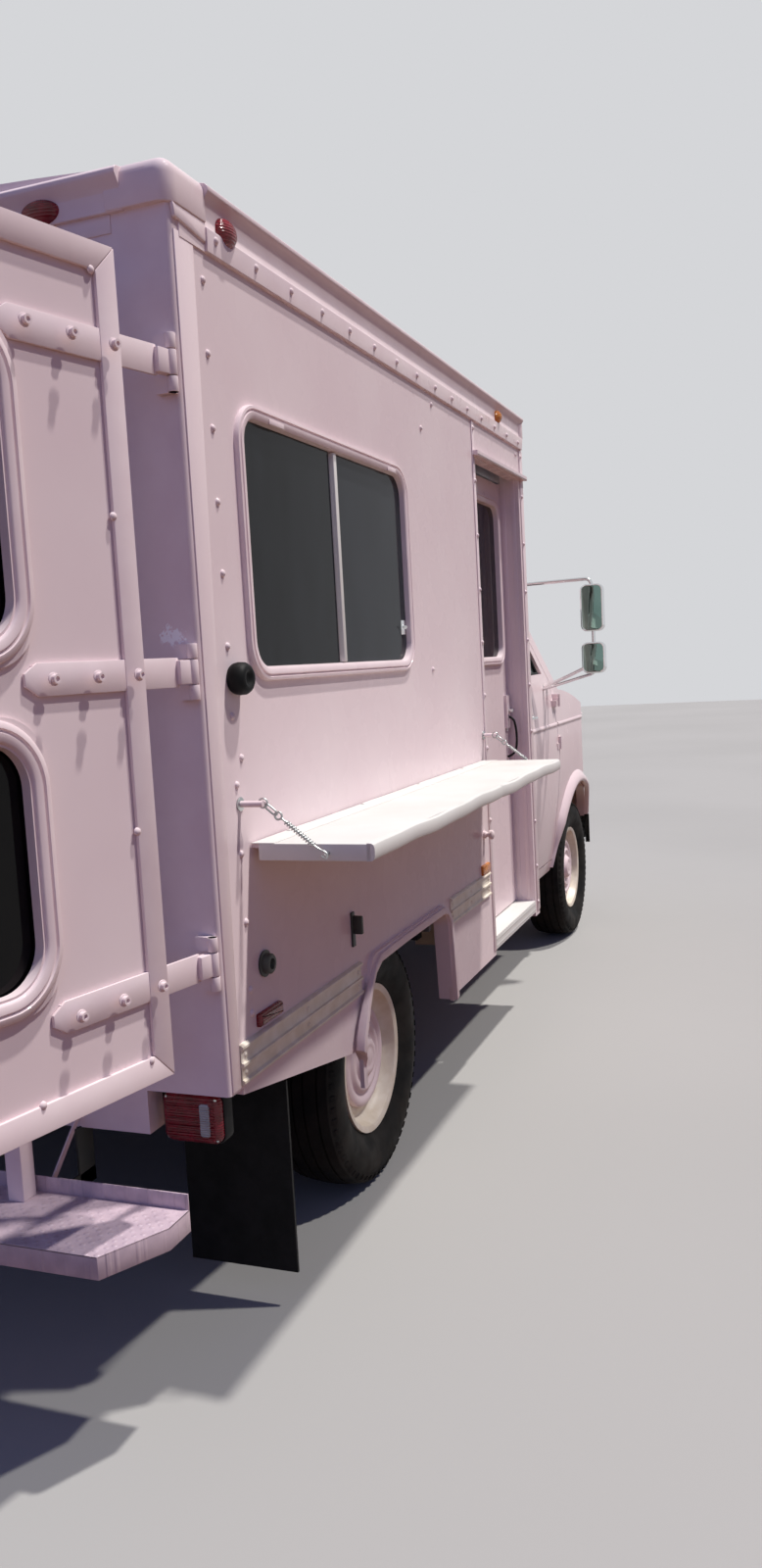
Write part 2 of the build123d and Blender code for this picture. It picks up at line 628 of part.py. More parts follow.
# Serving window: frame with its centre bar, and two panes
window_plane = Plane(origin=(0, -half, 0), x_dir=(1, 0, 0), z_dir=(0, -1, 0))
with BuildPart() as service_window_frame:
    with BuildSketch(window_plane):
        with Locations(window_centre):
            RectangleRounded(window_size[0] + 2 * window_frame, window_size[1] + 2 * window_frame,
                             window_corner + window_frame)
            RectangleRounded(*window_size, window_corner, mode=Mode.SUBTRACT)
    extrude(amount=window_proud)
    with BuildSketch(window_plane):
        with Locations(window_centre):
            RectangleRounded(window_size[0] + 30, window_size[1] + 30, window_corner + 15)
            RectangleRounded(*window_size, window_corner, mode=Mode.SUBTRACT)
    extrude(amount=-wall)
    block((window_centre[0] - 16, window_centre[0] + 16), (-half - window_proud, -half + 30),
          (window_low, window_high))
save(service_window_frame, "service_window_frame")
with BuildPart() as service_window_glass:
    with BuildSketch(window_plane.offset(-12)):
        with Locations(window_centre):
            RectangleRounded(*window_size, window_corner)
            Rectangle(32, window_size[1], mode=Mode.SUBTRACT)
    extrude(amount=6)
save(service_window_glass, "service_window_glass")

# Serving shelf with its rounded outer edge, hinge knuckles and the pins for its stays
with BuildPart() as serving_shelf:
    inner_y = -half - shelf_pivot_out - shelf_pivot_radius - gap / 2
    outer_y = -half - shelf_reach
    block((rear_x + shelf_start, rear_x + shelf_end), (outer_y, inner_y),
          (shelf_top - shelf_thickness, shelf_top))
    fillet(serving_shelf.edges().filter_by(Axis.X).filter_by_position(Axis.Y, outer_y - 1, outer_y + 1),
           shelf_thickness * 0.4)
    for share in (0.125, 0.375, 0.625, 0.875):
        x = rear_x + shelf_start + share * (shelf_end - shelf_start)
        rod((x - 60, pivot_y, pivot_z), (x + 60, pivot_y, pivot_z), shelf_pivot_radius + 4)
        block((x - 60, x + 60), (inner_y, pivot_y), (pivot_z - shelf_pivot_radius - 4, pivot_z))
        rod((x - 61, pivot_y, pivot_z), (x + 61, pivot_y, pivot_z), shelf_pivot_radius + running,
            mode=Mode.SUBTRACT)
    for x, toward in ((rear_x + shelf_start, -1), (rear_x + shelf_end, 1)):
        rod((x, -half - shelf_pin_out, shelf_pin_z), (x + toward * 13, -half - shelf_pin_out, shelf_pin_z), 4)
save(serving_shelf, "serving_shelf")

# Stays: an upper eye on the wall pin, a link and a turnbuckle body down to the shelf's end
for name, stay_x in (("stay_rear", shelf_start - 20), ("stay_front", shelf_end + 20)):
    x = rear_x + stay_x
    top = Vector(x, -half - stay_out, stay_z)
    foot = Vector(x, -half - shelf_pin_out, shelf_pin_z)
    with BuildPart() as stay:
        rod((x - 5, top.Y, top.Z), (x + 5, top.Y, top.Z), 11)
        rod(top, foot, 3.5)
        rod(top + (foot - top) * 0.42, top + (foot - top) * 0.86, 8)
        rod((x - 4, foot.Y, foot.Z), (x + 4, foot.Y, foot.Z), 9)
        rod((x - 8, top.Y, top.Z), (x + 8, top.Y, top.Z), stay_pin_radius + running, mode=Mode.SUBTRACT)
    save(stay, name)

# Rear step: a chequered plate on hangers below the sill
step_z = 451
step_flange_z = 485
step_sheet = 4
step_inner = 117
step_half = half - 49
step_points = [(rear_x - step_inner, -step_half), (rear_x - 200, -step_half),
               (rear_x - step_reach, -step_half + 76), (rear_x - step_reach, step_half - 76),
               (rear_x - 200, step_half), (rear_x - step_inner, step_half)]
with BuildPart() as rear_step:
    with BuildSketch(Plane.XY.offset(step_z - step_sheet)):
        with BuildLine():
            Polyline(*step_points, close=True)
        make_face()
    extrude(amount=step_sheet)
    block((rear_x - step_inner - step_sheet, rear_x - step_inner), (-step_half, step_half),
          (step_z, step_flange_z))
    with BuildSketch(Plane.XY.offset(step_z - 48)):
        with BuildLine():
            Polyline(*step_points)
            offset(amount=step_sheet, side=Side.RIGHT, closed=True)
        make_face()
    extrude(amount=46)
    for y in (-700, -260, 260, 700):
        block((rear_x - step_inner, rear_x + 40), (y - 3, y + 3), (step_z - 40, step_z + 10))
        block((rear_x - 20, rear_x + 40), (y - 3, y + 3), (step_z - 40, sill_bottom))
        block((rear_x - step_inner - step_sheet, rear_x - 60), (y - 25, y + 25),
              (step_z - 8, step_z - step_sheet))
save(rear_step, "rear_step")

# Lamps: red ones at the tail and over the doors, amber ones at the sides and the nose
upper_lamps = (roof_edge - 75, roof_edge - 53)
header_lamps = (roof_edge - 37, roof_edge - 15)
side_markers = (rub_high + 7, rub_high + 31)
with BuildPart() as red_lamps:
    for side in (right, left):
        block((rear_x + 4, rear_x + 56), (side * (half - 180), side * (half - 30)),
              (post_bottom - 110, post_bottom))
        block((rear_x - 34, rear_x - 12), (side * (half - 330), side * (half - 250)), header_lamps)
        block((rear_x + 200, rear_x + 270), (side * (half + 4), side * (half + 24)), upper_lamps)
        block((rear_x + 140, rear_x + 260), (side * half, side * (half + 14)), side_markers)
    for y in (-120, 0, 120):
        block((rear_x - 34, rear_x - 12), (y - 30, y + 30), header_lamps)
save(red_lamps, "red_lamps")
with BuildPart() as amber_lamps:
    for side in (right, left):
        block((front_x - 430, front_x - 370), (side * (half + 4), side * (half + 24)), upper_lamps)
        block((rear_x + entry_start - 127, rear_x + entry_start - 62), (side * half, side * (half + 14)),
              side_markers)
save(amber_lamps, "amber_lamps")

# Mud flaps hung from the floor behind the rear wheels
flap_x = rear_x + 318
flap_low = 85
with BuildPart() as mud_flaps:
    for side in (right, left):
        block((flap_x, flap_x + 8), (side * (wheel_box_inner + 10), side * (half - 25)), (flap_low, 570))
        block((flap_x, flap_x + 8), (side * (wheel_box_inner + 10), side * (inner - gap)),
              (565, floor_top - floor_thickness))
save(mud_flaps, "mud_flaps")


# Van cab: three outlines cross to give its shape, in side view, in front view and in plan
def cab_volume(inset):
    """The outer form of the cab and nose, with its walls drawn in by an amount."""
    t = inset
    side_depth = cab_half_width + 100
    roof_corner = (header_x + 18 - 0.86 * t, cab_roof - 95 - 0.5 * t)
    cowl_corner = (cowl_x - 0.62 * t, cowl_height - 0.92 * t)
    roof_front = (header_x - 60 - 0.1 * t, cab_roof - 25 - t)
    hood_lip = (nose_x - 60 - 0.2 * t, 1165 - t)
    nose_top = (nose_x - t, 1070 - 0.1 * t)
    with BuildPart() as volume:
        with BuildSketch(Plane.XZ.offset(side_depth)):
            with BuildLine():
                back = front_x - (1 if t else 0)
                Line((back, cab_low + t), (back, cab_roof - 10 - t))
                ThreePointArc((back, cab_roof - 10 - t), ((front_x + header_x) / 2, cab_roof - t), roof_front)
                ThreePointArc(roof_front, (header_x - 15 - 0.6 * t, cab_roof - 50 - 0.75 * t), roof_corner)
                Line(roof_corner, cowl_corner)
                ThreePointArc(cowl_corner, ((cowl_x + nose_x) / 2 - 0.2 * t, cowl_height - 70 - t), hood_lip)
                ThreePointArc(hood_lip, (nose_x - 14 - 0.7 * t, 1130 - 0.7 * t), nose_top)
                Polyline(nose_top, (nose_x - t, 640), (nose_x - 40 - t, 520),
                         (nose_x - 120, cab_low + 30 + t),
                         (front_axle_x, cab_low + t), (back, cab_low + t))
            make_face()
        extrude(amount=-2 * side_depth)
        with BuildSketch(Plane.YZ.offset(front_x - 2)):
            with BuildLine():
                for side in (right, left):
                    belt = (side * (965 - t), belt_height)
                    gutter = (side * (838 - t), cab_roof - 90 - 0.2 * t)
                    roof_side = (side * (690 - 0.1 * t), cab_roof - 10 - t)
                    ThreePointArc((side * (930 - t), 380), (side * (cab_half_width - t), 900), belt)
                    Line(belt, gutter)
                    ThreePointArc(gutter, (side * (790 - 0.7 * t), cab_roof - 32 - 0.7 * t), roof_side)
                ThreePointArc((-690 + 0.1 * t, cab_roof - 10 - t), (0, cab_roof + 12 - t),
                              (690 - 0.1 * t, cab_roof - 10 - t))
                Line((-930 + t, 380), (930 - t, 380))
            make_face()
        extrude(amount=nose_x - front_x + 100, mode=Mode.INTERSECT)
        with BuildSketch(Plane.XY):
            with BuildLine():
                for side in (right, left):
                    flank = (front_axle_x - 60, side * (cab_half_width + 20 - t))
                    turn_in = (front_axle_x + 480, side * (945 - t))
                    corner = (nose_x - 28 - t, side * (780 - 0.3 * t))
                    Line((front_x - 50, side * (cab_half_width + 20 - t)), flank)
                    ThreePointArc(flank, (front_axle_x + 230, side * (cab_half_width - 5 - t)), turn_in)
                    ThreePointArc(turn_in, (nose_x - 70 - 0.7 * t, side * (880 - 0.7 * t)), corner)
                ThreePointArc((nose_x - 28 - t, -780 + 0.3 * t), (nose_x + 2 - t, 0),
                              (nose_x - 28 - t, 780 - 0.3 * t))
                Line((front_x - 50, -cab_half_width - 20 + t), (front_x - 50, cab_half_width + 20 - t))
            make_face()
        extrude(amount=2600, mode=Mode.INTERSECT)
    return volume.part


def side_prism(points, margin=0):
    """A prism across the cab from an outline in side view, grown by a margin."""
    with BuildPart() as prism:
        with BuildSketch(Plane.XZ.offset(prism_depth)):
            with BuildLine():
                Polyline(*points, close=True)
            make_face()
            if margin:
                offset(amount=margin, kind=Kind.INTERSECTION)
        extrude(amount=-2 * prism_depth)
    return prism.part


def front_prism(points, start, end):
    """A prism along the truck from an outline in front view."""
    with BuildPart() as prism:
        with BuildSketch(Plane.YZ.offset(start)) as outline:
            with BuildLine():
                Polyline(*points, close=True)
            make_face()
            fillet(outline.vertices(), 45)
        extrude(amount=end - start)
    return prism.part


cab_low = skirt_low + 30
prism_depth = cab_half_width + 120
cab_outer = cab_volume(0)
cab_inner = cab_volume(cab_panel)
glass_outer = cab_volume(16)
glass_inner = cab_volume(22)
screen_rise = cab_roof - 95 - cowl_height
screen_run = header_x + 18 - cowl_x


def up_screen(share, behind):
    """A point up the windscreen line in side view, moved back by an amount."""
    return (cowl_x + share * screen_run - behind, cowl_height + share * screen_rise)


door_bottom = 500
door_top = cab_roof - 95
door_outline = [(latch_x, door_bottom), (shut_x - 60, door_bottom), (shut_x - 90, 720), (shut_x - 30, 960),
                (shut_x, 1040), (shut_x, cowl_height - 15), up_screen(0.10, 125), up_screen(0.93, 125),
                (header_x - 150, door_top), (latch_x, door_top)]
door_window = [(latch_x + 75, belt_height + 35), up_screen(0.16, 200), up_screen(0.84, 185),
               (header_x - 190, door_top - 60), (latch_x + 75, door_top - 60)]
hood_half = 640
hood_low = 1096
over_hood = cowl_height + 230
beyond = cab_half_width + 190
hood_rear = cowl_x + 45
arch_inner = track_front / 2 - tyre_width / 2 - 240
clip_outline = [(shut_x + gap, 200), (shut_x + gap, cowl_height - 8), (hood_rear - 40, cowl_height + 15),
                (hood_rear - 40, over_hood), (nose_x + 200, over_hood), (nose_x + 200, 200)]
screen_low = cowl_height + 55
screen_high = cab_roof - 150
screen_outline = [(-810, screen_low), (-735, screen_high), (735, screen_high), (810, screen_low)]
with BuildPart() as cab_skin:
    add(cab_outer)
    add(cab_inner, mode=Mode.SUBTRACT)
    for side in (right, left):
        with Locations(Plane(origin=(front_axle_x, side * arch_inner, wheel_z), z_dir=(0, side, 0))):
            Cylinder(arch_radius, beyond - arch_inner, align=(Align.CENTER, Align.CENTER, Align.MIN),
                     mode=Mode.SUBTRACT)
        block((front_axle_x - arch_radius, front_axle_x + arch_radius), (side * arch_inner, side * beyond),
              (0, wheel_z), mode=Mode.SUBTRACT)
    block((front_x - 1, nose_x + 50), (-900, 900), (0, cab_floor - 20), mode=Mode.SUBTRACT)
    block((front_axle_x, nose_x + 50), (-beyond, beyond), (0, rail_top + 8), mode=Mode.SUBTRACT)

# Cab body: roof, pillars, cowl, floor, toe board and engine cover
toe_x = shut_x - 70
with BuildPart() as cab_shell:
    add(cab_skin.part)
    add(side_prism(clip_outline), mode=Mode.SUBTRACT)
    add(side_prism(door_outline, gap), mode=Mode.SUBTRACT)
    add(front_prism(screen_outline, header_x - 90, cowl_x + 60), mode=Mode.SUBTRACT)
    block((front_x, toe_x), (-cab_half_width + 78, cab_half_width - 78), (cab_floor - 20, cab_floor))
    block((front_x, latch_x - 2 * gap), (-cab_half_width + 60, cab_half_width - 60),
          (cab_floor - 20, cab_floor))
    block((toe_x, toe_x + 12), (-cab_half_width + 100, cab_half_width - 100),
          (cab_floor - 20, cowl_height - 70))
    block((toe_x - 330, toe_x), (-290, 290), (cab_floor, cowl_height - 290))
    block((engine_start - 20, toe_x + 12), (-275, 275), (cab_floor - 20, cowl_height - 304),
          mode=Mode.SUBTRACT)
save(cab_shell, "cab_shell")

# Front clip: both wings and the nose panel, with the hood, grille and lamp openings cut out
grille_half = 560
grille_low = 730
grille_high = 1010
lamp_half = 105
lamp_y = 700
door_hinges = (cowl_height - 270, cowl_height - 50)
hood_gap = 8
hood_pivot_x = hood_rear - 2.5
hood_pivot_z = cowl_height - 7
hinge_x = shut_x + gap / 2
hinge_y = cab_half_width + 2
knuckle_radius = 9
liner_y = 520
liner_top = 1060
hood_hinges = (-480, 480)
with BuildPart() as front_clip:
    add(cab_skin.part)
    add(side_prism(clip_outline), mode=Mode.INTERSECT)
    block((hood_rear - hood_gap, nose_x + 50), (-hood_half - gap, hood_half + gap),
          (hood_low - gap, over_hood),
          mode=Mode.SUBTRACT)
    block((nose_x - 120, nose_x + 50), (-grille_half, grille_half), (grille_low, grille_high),
          mode=Mode.SUBTRACT)
    for side in (right, left):
        block((nose_x - 120, nose_x + 50), (side * lamp_y - lamp_half, side * lamp_y + lamp_half),
              (grille_low + 30, grille_high - 30), mode=Mode.SUBTRACT)
        block((toe_x + 20, nose_x - 70), (side * liner_y, side * (liner_y + 6)), (rail_top + 45, liner_top))
        block((nose_x - 90, nose_x - 80), (side * liner_y, side * 860), (rail_top + 45, liner_top))
        block((front_axle_x - arch_radius + 20, nose_x - 80), (side * liner_y, side * 900),
              (liner_top - 8, liner_top))
        for height in door_hinges:
            rod((hinge_x, side * hinge_y, height - 38), (hinge_x, side * hinge_y, height + 5),
                knuckle_radius + 5,
                mode=Mode.SUBTRACT)
            rod((hinge_x, side * hinge_y, height), (hinge_x, side * hinge_y, height + 31), knuckle_radius)
            rod((hinge_x, side * hinge_y, height - 32), (hinge_x, side * hinge_y, height + 31), 4)
            block((hinge_x, shut_x + 50), (side * (hinge_y - 50), side * hinge_y), (height, height + 31))
    block((nose_x - 90, nose_x - 80), (-liner_y - 6, liner_y + 6), (rail_top + 45, 700))
    for y in hood_hinges:
        rod((hood_pivot_x, y - 20, hood_pivot_z), (hood_pivot_x, y + 55, hood_pivot_z), 12,
            mode=Mode.SUBTRACT)
        rod((hood_pivot_x, y - 50, hood_pivot_z), (hood_pivot_x, y + 50, hood_pivot_z), 4)
        rod((hood_pivot_x, y - 50, hood_pivot_z), (hood_pivot_x, y - 16, hood_pivot_z), 7)
        block((hood_pivot_x - 30, hood_pivot_x), (y - 50, y - 16), (hood_pivot_z - 30, hood_pivot_z))
save(front_clip, "front_clip")

# Hood, hinged at its rear edge
with BuildPart() as hood:
    add(cab_skin.part)
    block((hood_rear, nose_x + 50), (-hood_half, hood_half), (hood_low, over_hood), mode=Mode.INTERSECT)
    for y in hood_hinges:
        rod((hood_pivot_x, y - 55, hood_pivot_z), (hood_pivot_x, y - 10, hood_pivot_z), 12,
            mode=Mode.SUBTRACT)
        rod((hood_pivot_x, y - 15, hood_pivot_z), (hood_pivot_x, y + 50, hood_pivot_z), 7)
        block((hood_pivot_x, hood_pivot_x + 30), (y - 15, y + 50), (hood_pivot_z - 30, hood_pivot_z))
        rod((hood_pivot_x, y - 16, hood_pivot_z), (hood_pivot_x, y + 51, hood_pivot_z), 4 + running,
            mode=Mode.SUBTRACT)
save(hood, "hood")

# Cab doors with their windows
for name, side in (("right", right), ("left", left)):
    with BuildPart() as cab_door:
        add(cab_skin.part)
        add(side_prism(door_outline), mode=Mode.INTERSECT)
        block((front_x - 10, nose_x), (0, -side * beyond), (0, cab_roof + 100), mode=Mode.SUBTRACT)
        add(side_prism(door_window), mode=Mode.SUBTRACT)
        for height in door_hinges:
            rod((hinge_x, side * hinge_y, height - 5), (hinge_x, side * hinge_y, height + 37),
                knuckle_radius + 5,
                mode=Mode.SUBTRACT)
            rod((hinge_x, side * hinge_y, height - 32), (hinge_x, side * hinge_y, height - 1), knuckle_radius)
            block((shut_x - 50, hinge_x), (side * (hinge_y - 50), side * hinge_y), (height - 32, height - 1))
            rod((hinge_x, side * hinge_y, height - 33), (hinge_x, side * hinge_y, height), 4 + running,
                mode=Mode.SUBTRACT)
    save(cab_door, "cab_door_" + name)
    with BuildPart() as cab_glass:
        add(glass_outer)
        add(glass_inner, mode=Mode.SUBTRACT)
        add(side_prism(door_window), mode=Mode.INTERSECT)
        block((front_x - 10, nose_x), (0, -side * beyond), (0, cab_roof + 100), mode=Mode.SUBTRACT)
    save(cab_glass, "cab_glass_" + name)
with BuildPart() as windscreen:
    add(glass_outer)
    add(glass_inner, mode=Mode.SUBTRACT)
    add(front_prism(screen_outline, header_x - 90, cowl_x + 60), mode=Mode.INTERSECT)
save(windscreen, "windscreen")

# Grille bars, headlamps and the front bumper
with BuildPart() as grille:
    block((nose_x - 70, nose_x - 40), (-grille_half, grille_half), (grille_low, grille_high))
    with Locations(Plane.YZ.offset(nose_x - 80)):
        with GridLocations(112, 56, 10, 5):
            Box(98, 44, 60, align=(Align.CENTER, Align.CENTER, Align.MIN), mode=Mode.SUBTRACT)
save(grille, "grille")
with BuildPart() as headlamps:
    for side in (right, left):
        block((nose_x - 70, nose_x - 20), (side * lamp_y - lamp_half, side * lamp_y + lamp_half),
              (grille_low + 30, grille_high - 30))
save(headlamps, "headlamps")
bumper_low = 430
bumper_high = 600
with BuildPart() as front_bumper:
    with BuildSketch(Plane.XY.offset(bumper_low)):
        with BuildLine():
            face = ThreePointArc((bumper_x - 70, -900), (bumper_x, 0), (bumper_x - 70, 900))
            Polyline(face @ 1, (bumper_x - 230, 975), (bumper_x - 230, 950), (bumper_x - 110, 885))
            ThreePointArc((bumper_x - 110, 885), (bumper_x - 40, 0), (bumper_x - 110, -885))
            Polyline((bumper_x - 110, -885), (bumper_x - 230, -950), (bumper_x - 230, -975), face @ 0)
        make_face()
    extrude(amount=bumper_high - bumper_low)
    for side in (right, left):
        block((frame_end, bumper_x - 50), (side * (rail_spread / 2 - 20), side * (rail_spread / 2 + 30)),
              (rail_bottom + 20, rail_top - 20))
save(front_bumper, "front_bumper")

# Dashboard with the steering column and wheel
dash_low = cowl_height - 286
dash_half = 840
seat_y = 505
wheel_centre = Vector(header_x + 40, seat_y, cowl_height - 155)
column_lean = Vector(-0.80, 0, 0.60)
with BuildPart() as dashboard:
    with BuildSketch(Plane.XZ.offset(dash_half)):
        with BuildLine():
            Polyline((toe_x, dash_low), (toe_x, dash_low + 206), (toe_x - 140, dash_low + 186),
                     (toe_x - 220, dash_low + 106), (toe_x - 190, dash_low), close=True)
        make_face()
    extrude(amount=-2 * dash_half)
    rod(wheel_centre - column_lean * 260, wheel_centre, 24)
    with Locations(Plane(origin=wheel_centre, z_dir=column_lean)):
        Torus(195, 14)
        Cylinder(60, 30)
        with PolarLocations(100, 3, 90):
            Box(190, 34, 14)
save(dashboard, "dashboard")

# Two seats on pedestals
seat_x = front_x + 190
seat_top = 1000
seat_low = 880
seat_back_top = 1590
with BuildPart() as seats:
    for y in (-seat_y, seat_y):
        block((seat_x, seat_x + 470), (y - 205, y + 205), (seat_low, seat_top))
        with BuildSketch(Plane.XZ.offset(-y - 200)):
            with BuildLine():
                Polyline((seat_x - 40, seat_top), (seat_x + 90, seat_top), (seat_x - 20, seat_back_top),
                         (seat_x - 110, seat_back_top - 10), close=True)
            make_face()
        extrude(amount=400)
        block((seat_x + 60, seat_x + 400), (y - 170, y + 170), (cab_floor, seat_low))
save(seats, "seats")

# Mirrors on tubular arms from the cab doors
mirror_x = latch_x + 360
mirror_table = (
    # head centre out from the box side, half width, low, high
    (190, 56, 1655, 1880),
    (190, 57, 1455, 1605),
)
for name, side in (("right", right), ("left", left)):
    foot_y = side * (cab_half_width - 46)
    head_y = side * (half + 190)
    with BuildPart() as mirror:
        for out, half_width, low, high in mirror_table:
            with BuildSketch(Plane.YZ.offset(mirror_x)):
                with Locations((side * (half + out), (low + high) / 2)):
                    RectangleRounded(2 * half_width, high - low, 26)
            extrude(amount=36)
        rod((mirror_x + 30, head_y, 1600), (mirror_x + 30, head_y, 1660), 9)
        rod((mirror_x + 22, side * 830, 1900), (mirror_x + 22, head_y - side * 30, 1905), 9)
        rod((mirror_x + 22, head_y - side * 30, 1905), (mirror_x + 22, head_y, 1860), 9)
        rod((shut_x - 45, foot_y, cowl_height + 15), (mirror_x + 30, head_y - side * 40, 1500), 9)
        rod((shut_x - 140, foot_y, cowl_height + 10), (mirror_x + 30, head_y, 1462), 8)
        add(cab_outer, mode=Mode.SUBTRACT)
    save(mirror, "mirror_" + name)
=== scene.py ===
import math

import bmesh
import bpy
from mathutils import Matrix, Vector


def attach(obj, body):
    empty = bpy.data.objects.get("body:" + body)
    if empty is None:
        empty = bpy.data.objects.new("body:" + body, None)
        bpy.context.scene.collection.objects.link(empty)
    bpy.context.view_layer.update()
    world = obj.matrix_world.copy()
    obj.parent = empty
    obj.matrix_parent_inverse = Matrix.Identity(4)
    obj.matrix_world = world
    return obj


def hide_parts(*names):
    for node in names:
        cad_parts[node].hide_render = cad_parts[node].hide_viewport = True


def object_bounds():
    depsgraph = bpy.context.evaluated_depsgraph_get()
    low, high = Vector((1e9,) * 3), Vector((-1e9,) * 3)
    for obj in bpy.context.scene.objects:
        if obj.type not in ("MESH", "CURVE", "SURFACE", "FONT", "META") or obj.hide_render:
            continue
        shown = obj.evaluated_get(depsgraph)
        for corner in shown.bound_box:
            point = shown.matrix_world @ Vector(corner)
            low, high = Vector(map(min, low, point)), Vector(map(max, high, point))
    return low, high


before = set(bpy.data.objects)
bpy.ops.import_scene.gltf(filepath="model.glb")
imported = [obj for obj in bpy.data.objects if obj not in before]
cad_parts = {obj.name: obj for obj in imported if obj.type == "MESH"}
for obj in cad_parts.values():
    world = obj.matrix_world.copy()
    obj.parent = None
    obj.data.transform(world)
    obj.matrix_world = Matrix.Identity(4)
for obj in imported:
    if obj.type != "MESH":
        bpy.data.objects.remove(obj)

bpy.ops.object.select_all(action="DESELECT")
cad_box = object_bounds()

# Places in metres, in the frame of the solids: +X forward, +Y to the left, +Z up
REAR = -1.9548          # rear face of the box
FRONT = 0.9552          # front face of the box
HALF = 1.090            # half the width of the box
FRONT_AXLE = 2.2842
REAR_AXLE = -0.9018
WHEEL_Z = 0.373
NOSE = 2.934
NOSE_Z = 0.870          # middle of the headlamps and the grille
BELT_Z = 1.195          # crease along the cab
PIN_X = REAR - 0.016    # hinge pins of the rear doors
PIN_OUT = 1.082
SEAM_START = 0.72       # first cover strip of the left side, ahead of the rear face
SEAM_PITCH = 0.6
DOOR_OPEN = math.radians(78)

# Turns of a flat plate that make it face outwards on each side of the truck
RIGHT_SIDE = (math.pi / 2, 0, 0)
LEFT_SIDE = (math.pi / 2, 0, math.pi)
REAR_SIDE = (math.pi / 2, 0, -math.pi / 2)
FRONT_SIDE = (math.pi / 2, 0, math.pi / 2)
SIDES = ((-1, "right", RIGHT_SIDE), (1, "left", LEFT_SIDE))


def at(x, out, z, side=-1):
    """A place on the box: ahead of its rear face, out from its side wall, and up; right unless told."""
    return (REAR + x, side * (HALF + out), z)


# Modelling helpers

def take(piece):
    """Makes one piece the only selected and the active one."""
    bpy.ops.object.select_all(action="DESELECT")
    piece.select_set(True)
    bpy.context.view_layer.objects.active = piece
    return piece


def settle(piece):
    """Puts a piece's place, turn and scale into its mesh."""
    take(piece)
    bpy.ops.object.transform_apply(location=True, rotation=True, scale=True)
    return piece


def modify(piece, kind, **settings):
    """Adds a modifier with its settings and applies it."""
    take(piece)
    modifier = piece.modifiers.new(kind.title(), kind)
    for name, value in settings.items():
        setattr(modifier, name, value)
    bpy.ops.object.modifier_apply(modifier=modifier.name)
    return piece


def soften(piece, width, segments=2, angle=30):
    """Rounds the sharp edges of a piece."""
    return modify(piece, "BEVEL", width=width, segments=segments, limit_method="ANGLE",
                  angle_limit=math.radians(angle))


def open_with(piece, test):
    """Opens a piece for editing with those of its faces selected that pass a test."""
    bpy.ops.object.mode_set(mode="EDIT")
    mesh = bmesh.from_edit_mesh(piece.data)
    for face in mesh.faces:
        face.select_set(test(face))
    bmesh.update_edit_mesh(piece.data)


def face_out(piece):
    """Turns the faces of a piece outwards."""
    bpy.ops.object.mode_set(mode="EDIT")
    bpy.ops.mesh.select_all(action="SELECT")
    bpy.ops.mesh.normals_make_consistent(inside=False)
    bpy.ops.object.mode_set(mode="OBJECT")
    return piece


def block(low, high, edge=0.0, segments=2):
    """A block between two corners with rounded edges."""
    middle = [(a + b) / 2 for a, b in zip(low, high)]
    size = [abs(b - a) for a, b in zip(low, high)]
    bpy.ops.mesh.primitive_cube_add(size=1, location=middle, scale=size)
    piece = settle(bpy.context.object)
    return soften(piece, edge, segments) if edge else piece


def drawn(points, run):
    """A flat outline with its corners at the points, extruded along a run."""
    bpy.ops.mesh.primitive_circle_add(vertices=len(points), fill_type="NGON")
    piece = bpy.context.object
    for vertex, point in zip(piece.data.vertices, points):
        vertex.co = point
    bpy.ops.object.mode_set(mode="EDIT")
    bpy.ops.mesh.select_all(action="SELECT")
    bpy.ops.mesh.extrude_region_move(TRANSFORM_OT_translate={"value": run})
    bpy.ops.object.mode_set(mode="OBJECT")
    return face_out(piece)


def plate(centre, turn, size, corner=0.0, steps=(), open_middle=False, segments=8):
    """A flat plate facing out of a side, its corners rounded, then inset and raised step by step."""
    bpy.ops.mesh.primitive_plane_add(size=1, location=centre, rotation=turn)
    piece = bpy.context.object
    piece.scale = (size[0], size[1], 1)
    bpy.ops.object.transform_apply(location=False, rotation=False, scale=True)
    bpy.ops.object.mode_set(mode="EDIT")
    bpy.ops.mesh.select_all(action="SELECT")
    if corner:
        bpy.ops.mesh.bevel(offset=corner, segments=segments, affect="VERTICES")
    bpy.ops.mesh.select_all(action="SELECT")
    for width, lift in steps:
        bpy.ops.mesh.inset(thickness=max(width, 0.00001), depth=lift, use_boundary=True)
    if open_middle:
        bpy.ops.mesh.delete(type="FACE")
    bpy.ops.object.mode_set(mode="OBJECT")
    return settle(piece)


def bar(start, end, radius, sides=16, edge=0.0):
    """A round bar between two points."""
    start, end = Vector(start), Vector(end)
    run = end - start
    bpy.ops.mesh.primitive_cylinder_add(vertices=sides, radius=radius, depth=run.length,
                                        location=(start + end) / 2,
                                        rotation=run.to_track_quat("Z", "Y").to_euler())
    piece = settle(bpy.context.object)
    return soften(piece, edge) if edge else piece


def wire(points, radius, closed=False, sides=3):
    """A bent round wire through smooth points."""
    curve = bpy.data.curves.new("wire", "CURVE")
    curve.dimensions = "3D"
    curve.bevel_depth = radius
    curve.bevel_resolution = sides
    curve.use_fill_caps = not closed
    spline = curve.splines.new("NURBS")
    spline.points.add(len(points) - 1)
    for target, point in zip(spline.points, points):
        target.co = (*point, 1)
    spline.order_u = 3
    spline.use_endpoint_u = not closed
    spline.use_cyclic_u = closed
    piece = bpy.data.objects.new("wire", curve)
    bpy.context.scene.collection.objects.link(piece)
    take(piece)
    bpy.ops.object.convert(target="MESH")
    return bpy.context.object


